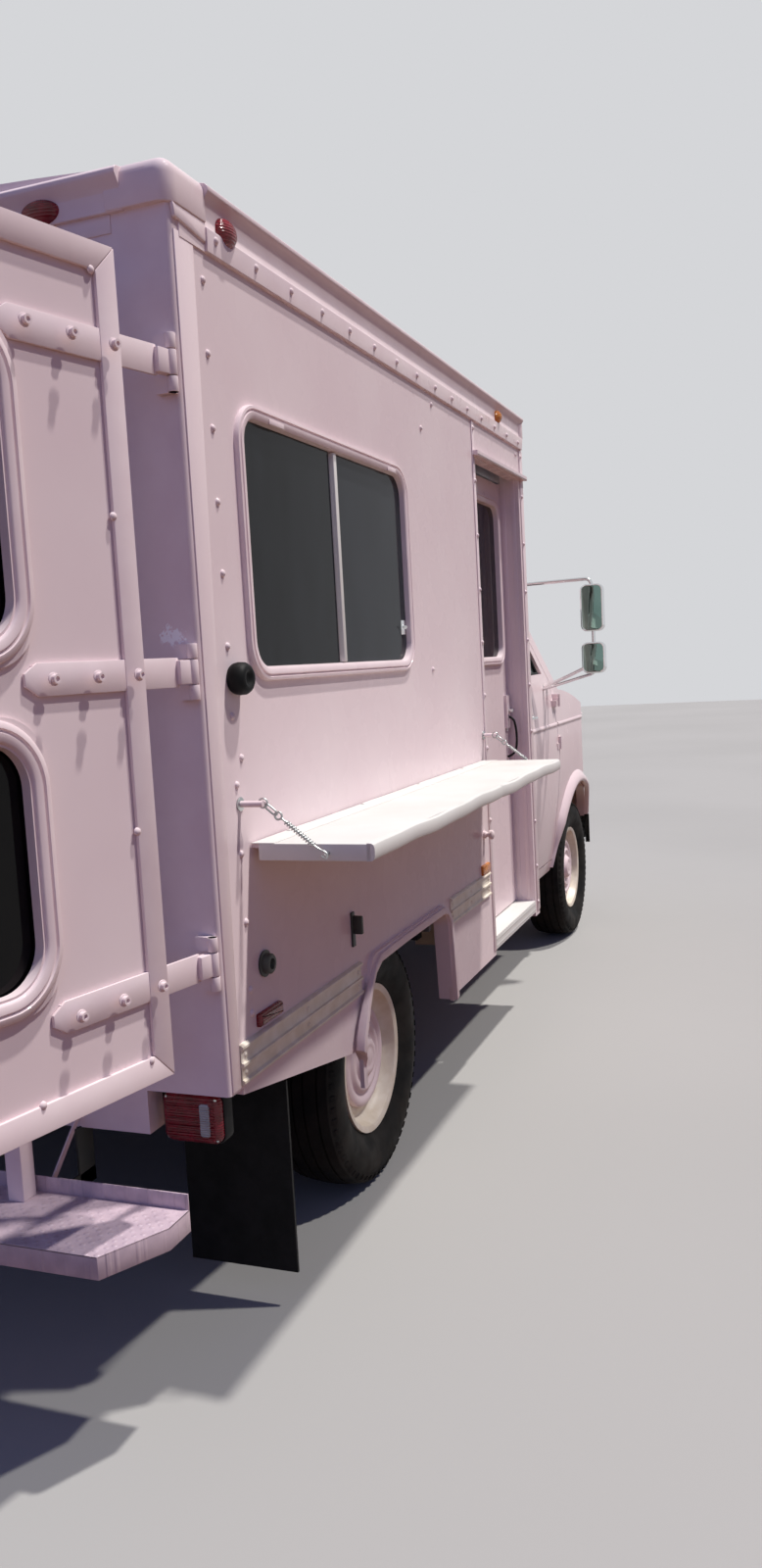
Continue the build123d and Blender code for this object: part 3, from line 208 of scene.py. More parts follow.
def turned(section, centre, side, steps, close=True):
    """A section of (distance out along Y, radius) points spun about an axle on one side of the truck."""
    bpy.ops.mesh.primitive_circle_add(vertices=len(section), fill_type="NOTHING")
    piece = bpy.context.object
    for vertex, (along, radius) in zip(piece.data.vertices, section):
        vertex.co = (centre[0], centre[1] + along * side, centre[2] + radius)
    bpy.ops.object.mode_set(mode="EDIT")
    mesh = bmesh.from_edit_mesh(piece.data)
    mesh.verts.ensure_lookup_table()
    if not close:
        first, last = mesh.verts[0], mesh.verts[len(section) - 1]
        for edge in mesh.edges:
            if first in edge.verts and last in edge.verts:
                mesh.edges.remove(edge)
                break
        bmesh.update_edit_mesh(piece.data)
    bpy.ops.mesh.select_all(action="SELECT")
    bpy.ops.mesh.spin(steps=steps, angle=2 * math.pi, center=centre, axis=(0, 1, 0))
    bpy.ops.mesh.select_all(action="SELECT")
    bpy.ops.mesh.remove_doubles(threshold=0.00002)
    bpy.ops.object.mode_set(mode="OBJECT")
    return face_out(piece)


def sheet(rows, thickness):
    """A bent sheet through rows of points, given a thickness behind its face."""
    bpy.ops.mesh.primitive_grid_add(x_subdivisions=len(rows[0]) - 1, y_subdivisions=len(rows) - 1)
    piece = bpy.context.object
    for vertex, point in zip(piece.data.vertices, [point for row in rows for point in row]):
        vertex.co = point
    return modify(face_out(piece), "SOLIDIFY", thickness=thickness, offset=0)


def on_skin(name, point, run):
    """The place where a ray through a point along a run meets a solid of the truck, or None."""
    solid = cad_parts[name]
    back = solid.matrix_world.inverted()
    start = Vector(point) - Vector(run) * 3
    hit, place, normal, index = solid.ray_cast(back @ start, (back.to_3x3() @ Vector(run)).normalized())
    return solid.matrix_world @ place if hit else None


def joined(pieces):
    """Several pieces made one."""
    bpy.ops.object.select_all(action="DESELECT")
    for piece in pieces:
        piece.select_set(True)
    bpy.context.view_layer.objects.active = pieces[0]
    if len(pieces) > 1:
        bpy.ops.object.join()
    return bpy.context.object


def doubled(piece):
    """A copy of a piece with its own mesh."""
    copy = piece.copy()
    copy.data = piece.data.copy()
    bpy.context.scene.collection.objects.link(copy)
    return copy


def copied(pattern, places, turn):
    """Copies of a pattern made at the origin, turned, moved to their places and joined; the pattern goes."""
    pieces = [doubled(pattern) for place in places]
    for piece, place in zip(pieces, places):
        piece.rotation_euler = turn
        piece.location = place
    bpy.data.objects.remove(pattern)
    return settle(joined(pieces))


def ringed(pattern, centre, count):
    """Copies of a pattern turned about a wheel's axle."""
    pieces = [doubled(pattern) for k in range(count)]
    for k, piece in enumerate(pieces):
        piece.rotation_euler = (0, 2 * math.pi * k / count, 0)
        piece.location = centre
    bpy.data.objects.remove(pattern)
    return settle(joined(pieces))


def twin(piece):
    """The same piece mirrored to the other side of the truck."""
    copy = doubled(piece)
    copy.scale = (1, -1, 1)
    return face_out(settle(copy))


def both(piece):
    """A piece together with its mirrored twin."""
    return joined([piece, twin(piece)])


def swung(piece):
    """A piece of the right rear door, made closed, turned about the pins to where the door stands."""
    pin = Vector((PIN_X, -PIN_OUT, 0))
    turn = Matrix.Rotation(DOOR_OPEN, 4, "Z")
    take(piece)
    piece.matrix_world = Matrix.Translation(pin) @ turn @ Matrix.Translation(-pin)
    return settle(piece)


def dress(piece, name, finish, body="truck", hides=(), smooth=35):
    """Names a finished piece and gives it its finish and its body."""
    piece.name = name
    piece.data.name = name
    take(piece)
    bpy.ops.object.shade_smooth_by_angle(angle=math.radians(smooth))
    piece.data.materials.clear()
    piece.data.materials.append(finish)
    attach(piece, body)
    if hides:
        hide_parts(*hides)


# Finishes

def linear(colour):
    """An sRGB hex colour as linear RGBA."""
    parts = [int(colour[i:i + 2], 16) / 255 for i in (1, 3, 5)]
    return (*[p / 12.92 if p <= 0.04045 else ((p + 0.055) / 1.055) ** 2.4 for p in parts], 1)


def node(tree, kind, inputs=None, **settings):
    """Adds a node: settings are its options, inputs its sockets' values or the sockets joined to them."""
    made = tree.nodes.new(kind)
    for name, value in settings.items():
        setattr(made, name, value)
    for name, value in (inputs or {}).items():
        if isinstance(value, bpy.types.NodeSocket):
            tree.links.new(value, made.inputs[name])
        else:
            made.inputs[name].default_value = value
    return made


def surface(name, **constants):
    """A new material with its shader's constant sockets set, and the Object coordinates of its patterns."""
    material = bpy.data.materials.new(name)
    material.use_nodes = True
    tree = material.node_tree
    shader = tree.nodes["Principled BSDF"]
    for socket, value in constants.items():
        shader.inputs[socket.replace("_", " ")].default_value = value
    place = tree.nodes.new("ShaderNodeTexCoord").outputs["Object"]
    return material, tree, shader, place


def patchy(tree, place, size, first, second, detail=3):
    """Two colours in soft patches of a size in metres."""
    grain = node(tree, "ShaderNodeTexNoise", {"Vector": place, "Scale": 1 / size, "Detail": detail})
    ramp = node(tree, "ShaderNodeValToRGB", {"Fac": grain.outputs["Fac"]})
    for stop, position, colour in zip(ramp.color_ramp.elements, (0.35, 0.65), (first, second)):
        stop.position = position
        stop.color = linear(colour)
    return ramp.outputs["Color"]


def ranged(tree, place, size, low, high, detail=3):
    """A number that wanders between two values in patches of a size in metres."""
    grain = node(tree, "ShaderNodeTexNoise", {"Vector": place, "Scale": 1 / size, "Detail": detail})
    return node(tree, "ShaderNodeMapRange", {"Value": grain.outputs["Fac"], "From Min": 0.3, "From Max": 0.7,
                                             "To Min": low, "To Max": high}).outputs["Result"]


def grained(tree, shader, place, size, height, detail=2, under=None):
    """Fine bumps of a size and height in metres on the shader's normal."""
    grain = node(tree, "ShaderNodeTexNoise", {"Vector": place, "Scale": 1 / size, "Detail": detail})
    inputs = {"Height": grain.outputs["Fac"], "Distance": height, "Strength": 1.0}
    if under:
        inputs["Normal"] = under
    bump = node(tree, "ShaderNodeBump", inputs)
    tree.links.new(bump.outputs["Normal"], shader.inputs["Normal"])
    return bump.outputs["Normal"]


def toned(name, patch, colours, wear, roughness, **constants):
    """A new material of two near shades in patches, its roughness wandering between two values."""
    material, tree, shader, place = surface(name, **constants)
    tree.links.new(patchy(tree, place, patch, *colours), shader.inputs["Base Color"])
    tree.links.new(ranged(tree, place, wear, *roughness), shader.inputs["Roughness"])
    return material, tree, shader, place


def painted(name, first, second, gloss, patch=0.35, peel=0.006, height=0.00001, coat=0.0, waves=0.0,
            shine=0.5):
    """Sprayed paint: two near shades in soft patches, a wandering gloss and the skin left by the gun."""
    material, tree, shader, place = toned(name, patch, (first, second), 0.12, (gloss - 0.06, gloss + 0.08),
                                          Coat_Weight=coat, Coat_Roughness=0.08, Specular_IOR_Level=shine)
    under = grained(tree, shader, place, 0.5, waves, detail=0) if waves else None
    grained(tree, shader, place, peel, height, under=under)
    return material


# Acrylic enamel sprayed over aluminium sheet: a pale dusty pink that is glossy but shows the gun's orange
# peel and the slow waves of thin sheet between its screws
body_paint = painted("pink_enamel_on_sheet", "#E9D6D8", "#EDDCDD", 0.26, height=0.000003, coat=0.16,
                     waves=0.0006, shine=0.02)
# The same enamel on thick castings, frames and hardware: no sheet waves, a little thicker and softer
trim_paint = painted("pink_enamel_on_hardware", "#E9D6D8", "#EEDDDE", 0.3, patch=0.09, height=0.000006,
                     coat=0.16, shine=0.02)
# The cab's pressed steel panels under the same enamel: tighter and smoother than the box
cab_paint = painted("pink_enamel_on_pressed_steel", "#E6D2D4", "#EBD9DA", 0.2, height=0.000003, coat=0.3,
                    shine=0.02)


def scuffed(name, spot, reach):
    """The frame's enamel with a rubbed pale spot that fades over a reach in metres each way."""
    material, tree, shader, place = surface(name, Coat_Weight=0.1, Specular_IOR_Level=0.02)
    clean = patchy(tree, place, 0.09, "#E9D6D8", "#EEDDDE")
    apart = node(tree, "ShaderNodeVectorMath", {0: place, 1: spot}, operation="SUBTRACT")
    shares = node(tree, "ShaderNodeVectorMath", {0: apart.outputs["Vector"], 1: reach}, operation="DIVIDE")
    away = node(tree, "ShaderNodeVectorMath", {0: shares.outputs["Vector"]}, operation="LENGTH")
    near = node(tree, "ShaderNodeMapRange", {"Value": away.outputs["Value"], "From Min": 0.2, "From Max": 1.0,
                                             "To Min": 0.34, "To Max": -0.3})
    streaks = node(tree, "ShaderNodeTexNoise", {"Vector": place, "Scale": 55.0, "Detail": 5.0,
                                                "Distortion": 1.6})
    rubbed = node(tree, "ShaderNodeMath", {0: streaks.outputs["Fac"], 1: near.outputs["Result"]},
                  operation="ADD")
    worn = node(tree, "ShaderNodeMapRange", {"Value": rubbed.outputs["Value"], "From Min": 0.68,
                                             "From Max": 0.80})
    mixed = node(tree, "ShaderNodeMix", {"Factor": worn.outputs["Result"], "A": clean,
                                         "B": linear("#FFFDFF")}, data_type="RGBA")
    tree.links.new(mixed.outputs["Result"], shader.inputs["Base Color"])
    gloss = node(tree, "ShaderNodeMapRange", {"Value": worn.outputs["Result"], "To Min": 0.26, "To Max": 0.6})
    tree.links.new(gloss.outputs["Result"], shader.inputs["Roughness"])
    return material


# The rear frame's enamel, rubbed pale where the open door's middle hinge has scuffed the post
post_paint = scuffed("pink_enamel_scuffed_post", (REAR, -1.030, 1.635), (1 / 12, 1 / 15, 1 / 22))
# Cream wheel and rub rail enamel, yellowed and satin with road dust in it
cream_paint = painted("cream_enamel_yellowed", "#D9CDB9", "#E8DFD0", 0.42, patch=0.05, height=0.00002)
# White shelf paint brushed on plywood with a wooden lip: chalky white with faint brush relief
shelf_paint = painted("white_brushed_shelf_paint", "#DAD8D2", "#E0DED9", 0.5, patch=0.16, peel=0.004,
                      height=0.00003)
# Black chassis paint: dull, with brown road dirt in patches
chassis_paint = painted("black_chassis_paint_dirty", "#15151A", "#2A2622", 0.62, patch=0.11, height=0.00006)
# Engine and hub castings: dark grey iron with a sandy skin
iron_skin = painted("grey_iron_as_cast", "#2B2A29", "#3B3835", 0.66, patch=0.04, peel=0.0025, height=0.0001)
# Vinyl sheet on the load floor: grey with scuffs
floor_vinyl = painted("grey_floor_vinyl", "#4D4D50", "#5C5B5C", 0.55, patch=0.2, peel=0.003, height=0.00004)
# Moulded ABS of the dashboard: near black with a soft leather-like grain
dash_abs = painted("black_grained_abs", "#242224", "#302D2E", 0.58, patch=0.1, peel=0.0022, height=0.00008)
# Seat covers: dark brown vinyl with a stretched grain
seat_vinyl = painted("brown_seat_vinyl", "#3A322E", "#4A403B", 0.5, patch=0.12, peel=0.0028, height=0.0001)


def metal(name, first, second, rough, spread=0.07, height=0.00002):
    """A bare metal with fine lines along it and a cloudy tone."""
    material, tree, shader, place = toned(name, 0.12, (first, second), 0.08, (rough - spread, rough + spread),
                                          Metallic=1.0)
    stretched = node(tree, "ShaderNodeMapping", {"Vector": place, "Scale": (400, 40, 40)})
    grained(tree, shader, stretched.outputs["Vector"], 1.0, height)
    return material


# Zinc-plated steel wire, springs and hooks: light grey metal, cloudy
zinc = metal("zinc_plated_steel", "#A3A6A8", "#C2C4C4", 0.33)
# Mill-finish aluminium of the door track: pale metal with rolling lines
mill_aluminium = metal("mill_finish_aluminium", "#BFC1C3", "#D3D4D5", 0.36)
# Chrome plate of the bumper and the mirrors: mirror bright with a little haze
chrome_plate = metal("chrome_plate", "#DFE1E2", "#E6E7E8", 0.09, spread=0.015, height=0.0000005)


def rubbery(name, patch, colours, wear, roughness, shine, grain, height):
    """Moulded rubber with dust in patches and a fine moulded grain."""
    material, tree, shader, place = toned(name, patch, colours, wear, roughness, Specular_IOR_Level=shine)
    grained(tree, shader, place, grain, height)
    return material


# Moulded rubber: deep black that goes grey where dust sits
rubber = rubbery("black_moulded_rubber", 0.06, ("#0D0D0E", "#1B1B1C"), 0.04, (0.42, 0.62), shine=0.15,
                 grain=0.003, height=0.0002)
# Tyre rubber: carbon black with brownish dust rubbed into the sidewall
tyre_rubber = rubbery("tyre_rubber_dusty", 0.09, ("#121213", "#282523"), 0.05, (0.6, 0.8), shine=0.12,
                      grain=0.004, height=0.0003)


def glass(name, tint, film, haze, clear=0.82, from_x=None):
    """Dark tinted window glass with dust wiped thin in streaks; it may be hazier ahead of a place."""
    material, tree, shader, place = surface(name, IOR=1.45, Specular_IOR_Level=0.03)
    streaks = node(tree, "ShaderNodeMapping", {"Vector": place, "Scale": (1, 1, 0.35)})
    dust = ranged(tree, streaks.outputs["Vector"], 0.11, 0.0, haze, detail=6)
    if from_x is not None:
        along = node(tree, "ShaderNodeSeparateXYZ", {"Vector": place})
        ahead = node(tree, "ShaderNodeMapRange", {"Value": along.outputs["X"], "From Min": from_x - 0.01,
                                                  "From Max": from_x + 0.01, "To Min": 0.0, "To Max": 0.2})
        added = node(tree, "ShaderNodeMath", {0: dust, 1: ahead.outputs["Result"]}, operation="ADD")
        dust = added.outputs["Value"]
    colour = node(tree, "ShaderNodeMix", {"Factor": dust, "A": linear(tint), "B": linear(film)},
                  data_type="RGBA")
    tree.links.new(colour.outputs["Result"], shader.inputs["Base Color"])
    see = node(tree, "ShaderNodeMapRange", {"Value": dust, "From Min": 0.0, "From Max": 1.0, "To Min": clear,
                                            "To Max": 0.0})
    tree.links.new(see.outputs["Result"], shader.inputs["Transmission Weight"])
    tree.links.new(ranged(tree, place, 0.004, 0.03, 0.09, detail=1), shader.inputs["Roughness"])
    return material


# Smoked safety glass: nearly black from outside in the sun, dusty where it isn't wiped
window_glass = glass("smoked_safety_glass", "#0B0C0F", "#666C73", 0.14, clear=0.4, from_x=REAR + 0.79)
door_glass = glass("smoked_door_glass", "#100E10", "#4A4A4E", 0.2, clear=0.5)
rear_glass = glass("smoked_rear_glass", "#0A090A", "#232225", 0.2, clear=0.4)
screen_glass = glass("green_tinted_screen_glass", "#5C6966", "#7C8483", 0.12)


def lens(name, deep, pale, pitch):
    """Coloured lamp plastic with moulded ribs at a pitch in metres."""
    material, tree, shader, place = toned(name, 0.02, (deep, pale), 0.03, (0.12, 0.3), IOR=1.49,
                                          Transmission_Weight=0.2, Specular_IOR_Level=0.3,
                                          Coat_Weight=0.12, Coat_Roughness=0.05)
    ribs = node(tree, "ShaderNodeTexWave", {"Vector": place, "Scale": 0.314 / pitch}, bands_direction="Z")
    bump = node(tree, "ShaderNodeBump", {"Height": ribs.outputs["Fac"], "Distance": 0.0012})
    tree.links.new(bump.outputs["Normal"], shader.inputs["Normal"])
    return material


# Lamp lenses in acrylic: clear red, amber and colourless plastic with prism ribs inside
red_lens = lens("red_acrylic_lens", "#7A0A1E", "#9A122C", 0.006)
amber_lens = lens("amber_acrylic_lens", "#C8660C", "#E08C16", 0.006)
clear_lens = lens("clear_acrylic_lens", "#A9ACAD", "#BFC2C2", 0.005)

# Mirror glass: silvered, faintly green, and dimmed to a dark green far below a real mirror's brightness: the
# dimming is a painted dark reflection
mirror_glass = toned("silvered_mirror_glass_painted_dark", 0.2, ("#6F8A82", "#829C94"), 0.02, (0.02, 0.06),
                     Metallic=1.0)[0]

# Chequered steel step under the pink enamel: raised lozenges in rows, worn glossy on their tops
# Its pink is painted darker than the body's enamel: painted shade, for a step that stands in the open door's
# shadow
chequer_paint_with_painted_shade, tree, shader, place = toned("pink_enamel_on_chequer_plate_painted_shade", 0.05, ("#B5A1AC", "#CAB5BE"), 0.03,
                                           (0.38, 0.55), Coat_Weight=0.1)
slanted = node(tree, "ShaderNodeMapping", {"Vector": place, "Rotation": (0, 0, math.radians(45)),
                                           "Scale": (1, 1, 0)})
studs = node(tree, "ShaderNodeTexVoronoi", {"Vector": slanted.outputs["Vector"], "Scale": 50.0,
                                            "Randomness": 0.25})
raised = node(tree, "ShaderNodeMapRange", {"Value": studs.outputs["Distance"], "From Min": 0.16,
                                           "From Max": 0.34, "To Min": 1.0, "To Max": 0.0})
bump = node(tree, "ShaderNodeBump", {"Height": raised.outputs["Result"], "Distance": 0.0015})
tree.links.new(bump.outputs["Normal"], shader.inputs["Normal"])

finishes = {
    body_paint: ("side_wall_right", "side_wall_left", "front_wall", "box_roof", "rear_door_right",
                 "rear_door_left", "entry_door"),
    trim_paint: ("service_window_frame",),
    post_paint: ("rear_frame",),
    cab_paint: ("cab_shell", "front_clip", "hood", "cab_door_right", "cab_door_left"),
    chequer_paint_with_painted_shade: ("rear_step",),
    cream_paint: ("rub_rails", "rim_front_right", "rim_front_left", "rim_rear_right", "rim_rear_left"),
    shelf_paint: ("serving_shelf", "entry_step"),
    chassis_paint: ("frame_rails", "crossmembers", "front_suspension", "rear_axle", "fuel_tank"),
    iron_skin: ("engine_block", "knuckle_right", "knuckle_left"),
    floor_vinyl: ("box_floor",),
    dash_abs: ("dashboard",),
    seat_vinyl: ("seats",),
    zinc: ("exhaust", "stay_rear", "stay_front"),
    mill_aluminium: ("door_track",),
    chrome_plate: ("front_bumper", "grille", "mirror_right", "mirror_left"),
    rubber: ("mud_flaps",),
    tyre_rubber: ("tyre_front_right", "tyre_front_left", "tyre_rear_right", "tyre_rear_left"),
    window_glass: ("service_window_glass",),
    door_glass: ("entry_door_glass",),
    rear_glass: ("rear_glass_right", "rear_glass_left"),
    screen_glass: ("windscreen", "cab_glass_right", "cab_glass_left"),
    red_lens: ("red_lamps",),
    amber_lens: ("amber_lamps",),
    clear_lens: ("headlamps",),
}
for finish, names in finishes.items():
    for name in names:
        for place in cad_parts[name].material_slots:
            place.material = finish


# Screws, used all over the box

def dome(scale, radius=1, segments=28, rings=16):
    """The upper half of a scaled ball at the origin, standing on the XY plane."""
    bpy.ops.mesh.primitive_uv_sphere_add(segments=segments, ring_count=rings, radius=radius)
    piece = bpy.context.object
    piece.scale = scale
    settle(piece)
    bpy.ops.object.mode_set(mode="EDIT")
    bpy.ops.mesh.select_all(action="SELECT")
    bpy.ops.mesh.bisect(plane_co=(0, 0, 0), plane_no=(0, 0, 1), clear_inner=True, use_fill=True)
    bpy.ops.object.mode_set(mode="OBJECT")
    return piece


def dome_screw(scale=(1, 1, 1)):
    """One dome-headed screw at the origin, standing on the XY plane."""
    piece = dome((1, 1, 0.72), 0.0085, 12, 8)
    piece.scale = scale
    return settle(piece)


def socket_bolt():
    """One socket-headed bolt on its washer at the origin, standing on the XY plane."""
    washer = bar((0, 0, 0), (0, 0, 0.003), 0.0125, edge=0.0008)
    bpy.ops.mesh.primitive_cylinder_add(vertices=18, radius=0.0085, depth=0.009, location=(0, 0, 0.0075))
    head = settle(bpy.context.object)
    open_with(head, lambda face: face.normal.z > 0.9)
    bpy.ops.mesh.inset(thickness=0.004, depth=0)
    bpy.ops.mesh.extrude_region_move(TRANSFORM_OT_translate={"value": (0, 0, -0.005)})
    bpy.ops.object.mode_set(mode="OBJECT")
    return joined([washer, head])


# Places of the screws as (ahead of the rear face, height, how far out the face there stands)
post_screws = [(0.123, z, 0.0) for z in (2.371, 2.222, 2.069, 1.916, 1.766, 1.611, 1.46, 1.31, 1.158, 1.006,
                                         0.853, 0.80)] + [(0.153, 1.367, 0.0)]
jamb_screws = [(2.143, z, 0.004) for z in (2.402, 2.211, 2.011, 1.811, 1.615, 1.416, 1.216, 1.016, 0.94)]
front_screws = [(2.872, z, 0.004) for z in (2.40, 2.233, 2.034, 1.830, 1.624, 1.430, 1.227, 1.030, 0.83,
                                            0.63, 0.47)]
odd_screws = [(1.659, 2.398, 0.0), (1.537, 2.302, 0.0), (1.541, 1.528, 0.0), (2.803, 2.40, 0.0)]
rail_screws = [(0.172 + 0.1886 * k, 2.462 - 0.0008 * k, 0.011) for k in range(15)]
seam_screws = [(SEAM_START + SEAM_PITCH * k, z, 0.0) for k in range(4)
               for z in (2.371, 2.069, 1.766, 1.46, 1.158, 0.853)]
shared_screws = post_screws + front_screws + rail_screws
side_screws = (shared_screws + jamb_screws + odd_screws, shared_screws + seam_screws)
for (side, name, turn), places in zip(SIDES, side_screws):
    screws = copied(dome_screw(), [at(x, out, z, side) for x, z, out in places], turn)
    dress(screws, "side_screws_" + name, trim_paint)

# Box corners, seams and roof rail

# Rear corner post cover: a folded flange along the side, wider at the top
post_flange = drawn([at(0.010, 0, 0.655), at(0.047, 0, 0.655), at(0.087, 0, 2.44), at(0.010, 0, 2.44)],
                    (0, -0.003, 0))
dress(both(soften(post_flange, 0.0012)), "post_flanges", body_paint)

# A thin dark line along the edge of each post cover: painted shadow at the cover's lapped edge
lap_shadow_line = drawn([at(0.0475, 0, 0.66), at(0.0495, 0, 0.66), at(0.0895, 0, 2.42), at(0.0875, 0, 2.42)],
                 (0, -0.0008, 0))
dress(both(lap_shadow_line), "post_lap_painted_shadow_lines", rubber)

# Cover strips beside the entry doorway and along the front edge of the box
skirt_z, eave_z = 0.43, 2.428
strips = [block(at(start, 0.004, skirt_z, side), at(end, 0, eave_z, side), 0.0015)
          for start, end, side in ((2.128, 2.157, -1), (2.860, 2.908, -1), (2.860, 2.908, 1))]
dress(joined(strips), "cover_strips", trim_paint)

# Roof rail: a screwed flange, a cove that holds the lamps and a lip over it
rail_section = [(0.0, 2.430), (0.009, 2.431), (0.013, 2.477), (0.010, 2.480), (0.0045, 2.482),
                (0.0042, 2.520), (0.007, 2.534), (0.016, 2.546), (0.020, 2.551), (0.020, 2.560),
                (0.012, 2.567), (-0.006, 2.571), (-0.045, 2.575), (-0.045, 2.560), (-0.010, 2.545),
                (-0.002, 2.50)]
rail_start, rail_end = 0.135, 2.893
rail = drawn([at(rail_start, out, z) for out, z in rail_section], (rail_end - rail_start, 0, 0))
dress(both(soften(rail, 0.0012, 1)), "roof_rails", trim_paint)

# Rear header: the same lip and cove across the back, with a plate under it
header_section = [(0.012, 2.486), (0.012, 2.524), (0.018, 2.534), (0.026, 2.546), (0.030, 2.552),
                  (0.030, 2.561), (0.022, 2.568), (0.0, 2.572), (-0.03, 2.576), (-0.03, 2.55), (0.0, 2.486)]
header_in = 0.10
header = drawn([at(-out, -header_in, z) for out, z in header_section], (0, 2 * (HALF - header_in), 0))
dress(soften(header, 0.0012, 1), "rear_header_rail", trim_paint)
header_plate = block(at(-0.003, -0.134, 2.449), at(0, -0.134, 2.489, 1), 0.001)
dress(header_plate, "rear_header_plate", body_paint)


def corner_cap(side):
    """The rounded casting over a top rear corner, with its two aprons."""
    cap = block(at(-0.014, 0.010, 2.488, side), at(0.137, -0.138, 2.579, side))
    bpy.ops.object.mode_set(mode="EDIT")
    mesh = bmesh.from_edit_mesh(cap.data)
    for edge in mesh.edges:
        top = all(v.co.z > 2.57 for v in edge.verts)
        back = all(v.co.x < REAR for v in edge.verts)
        outer = all(abs(v.co.y) > HALF for v in edge.verts)
        edge.select_set(top and (back or outer) or back and outer)
    bmesh.update_edit_mesh(cap.data)
    bpy.ops.mesh.bevel(offset=0.034, segments=8)
    bpy.ops.object.mode_set(mode="OBJECT")
    soften(cap, 0.002, 2, 50)
    apron = drawn([at(x, 0, z, side) for x, z in ((0.137, 2.488), (0.137, 2.455), (0.132, 2.447),
                                                  (0.010, 2.462), (0.004, 2.488))], (0, side * 0.008, 0))
    return joined([cap, soften(apron, 0.002)])


dress(joined([corner_cap(-1), corner_cap(1)]), "corner_caps", trim_paint, smooth=50)
# The rounded ends of the roof at the top front corners
front_caps = [block((FRONT - 0.055, side * (HALF + 0.012), 2.46),
                    (FRONT + 0.010, side * (HALF - 0.10), 2.575), 0.022, 5) for side in (-1, 1)]
dress(joined(front_caps), "front_corner_caps", trim_paint, smooth=50)

# Lamps of the box

def dome_lamp(centre, turn, width, height, rise=0.024):
    """An oval dome lens on its base."""
    piece = dome((width / 2, height / 2, rise))
    piece.rotation_euler = turn
    piece.location = centre
    return settle(piece)


# Domes in the roof rails and the rear header, and markers over the rub rails: red at the rear, amber ahead
red, amber = [], []
for side, name, turn in SIDES:
    red.append(dome_lamp(at(0.228, 0.003, 2.494, side), turn, 0.084, 0.062))
    amber.append(dome_lamp(at(2.503, 0.001, 2.503, side), turn, 0.070, 0.052))
    red.append(plate(at(0.200, 0, 0.775, side), turn, (0.118, 0.030), 0.005,
                     ((0.0005, 0.008), (0.003, 0.004), (0.004, 0.002)), segments=3))
    amber.append(plate(at(2.050, 0, 0.768, side), turn, (0.100, 0.036), 0.004,
                       ((0.0005, 0.006), (0.003, 0.003)), segments=3))
red += [dome_lamp((REAR - 0.011, y, 2.512), REAR_SIDE, 0.092, 0.052) for y in (-0.798, -0.12, 0, 0.12, 0.798)]

# Square tail lamps under the corner posts: housing, ribbed red lens, clear insert and four screws
housings, inserts, lamp_screws = [], [], []
tail_in, tail_z = 0.105, 0.5915
for side in (-1, 1):
    y = side * (HALF - tail_in)
    housings.append(plate((REAR + 0.058, y, tail_z), REAR_SIDE, (0.150, 0.118), 0.022,
                          ((0.0, 0.030), (0.002, 0.004), (0.004, 0.0))))
    red.append(plate((REAR + 0.024, y, tail_z), REAR_SIDE, (0.142, 0.110), 0.020,
                     ((0.0, 0.010), (0.005, 0.006), (0.008, 0.003))))
    for z in [0.549 + 0.0085 * k for k in range(11)]:
        red.append(block((REAR + 0.002, y - 0.058, z - 0.0016), (REAR + 0.0062, y + 0.058, z + 0.0016),
                         0.001, 1))
    inserts.append(plate((REAR + 0.012, y + side * 0.036, tail_z), REAR_SIDE, (0.024, 0.074), 0.006,
                         ((0.0, 0.010), (0.002, 0.002)), segments=3))
    lamp_screws += [(REAR + 0.010, y + dy, tail_z + dz) for dy in (-0.060, 0.060) for dz in (-0.045, 0.045)]
dress(copied(dome_screw((0.5, 0.5, 0.5)), lamp_screws, REAR_SIDE), "tail_lamp_screws", zinc)
dress(joined(housings), "tail_lamp_housings", rubber)
dress(joined(inserts), "tail_lamp_inserts", clear_lens)
dress(joined(red), "red_lenses", red_lens, hides=("red_lamps",), smooth=50)
dress(joined(amber), "amber_lenses", amber_lens, hides=("amber_lamps",), smooth=50)

# Rear doors

DOOR_FACE = REAR - 0.002
strap_heights = (0.947, 1.560, 2.175)
strap_half = 0.0245     # half the height of a strap's knuckle
knuckle_radius = 0.0112
ring_steps = ((0.0, 0.009), (0.004, 0.004), (0.009, 0.001), (0.003, -0.004), (0.003, 0.0), (0.002, 0.004),
              (0.013, 0.0), (0.004, -0.003), (0.001, -0.004), (0.005, 0.001), (0.0, -0.022))


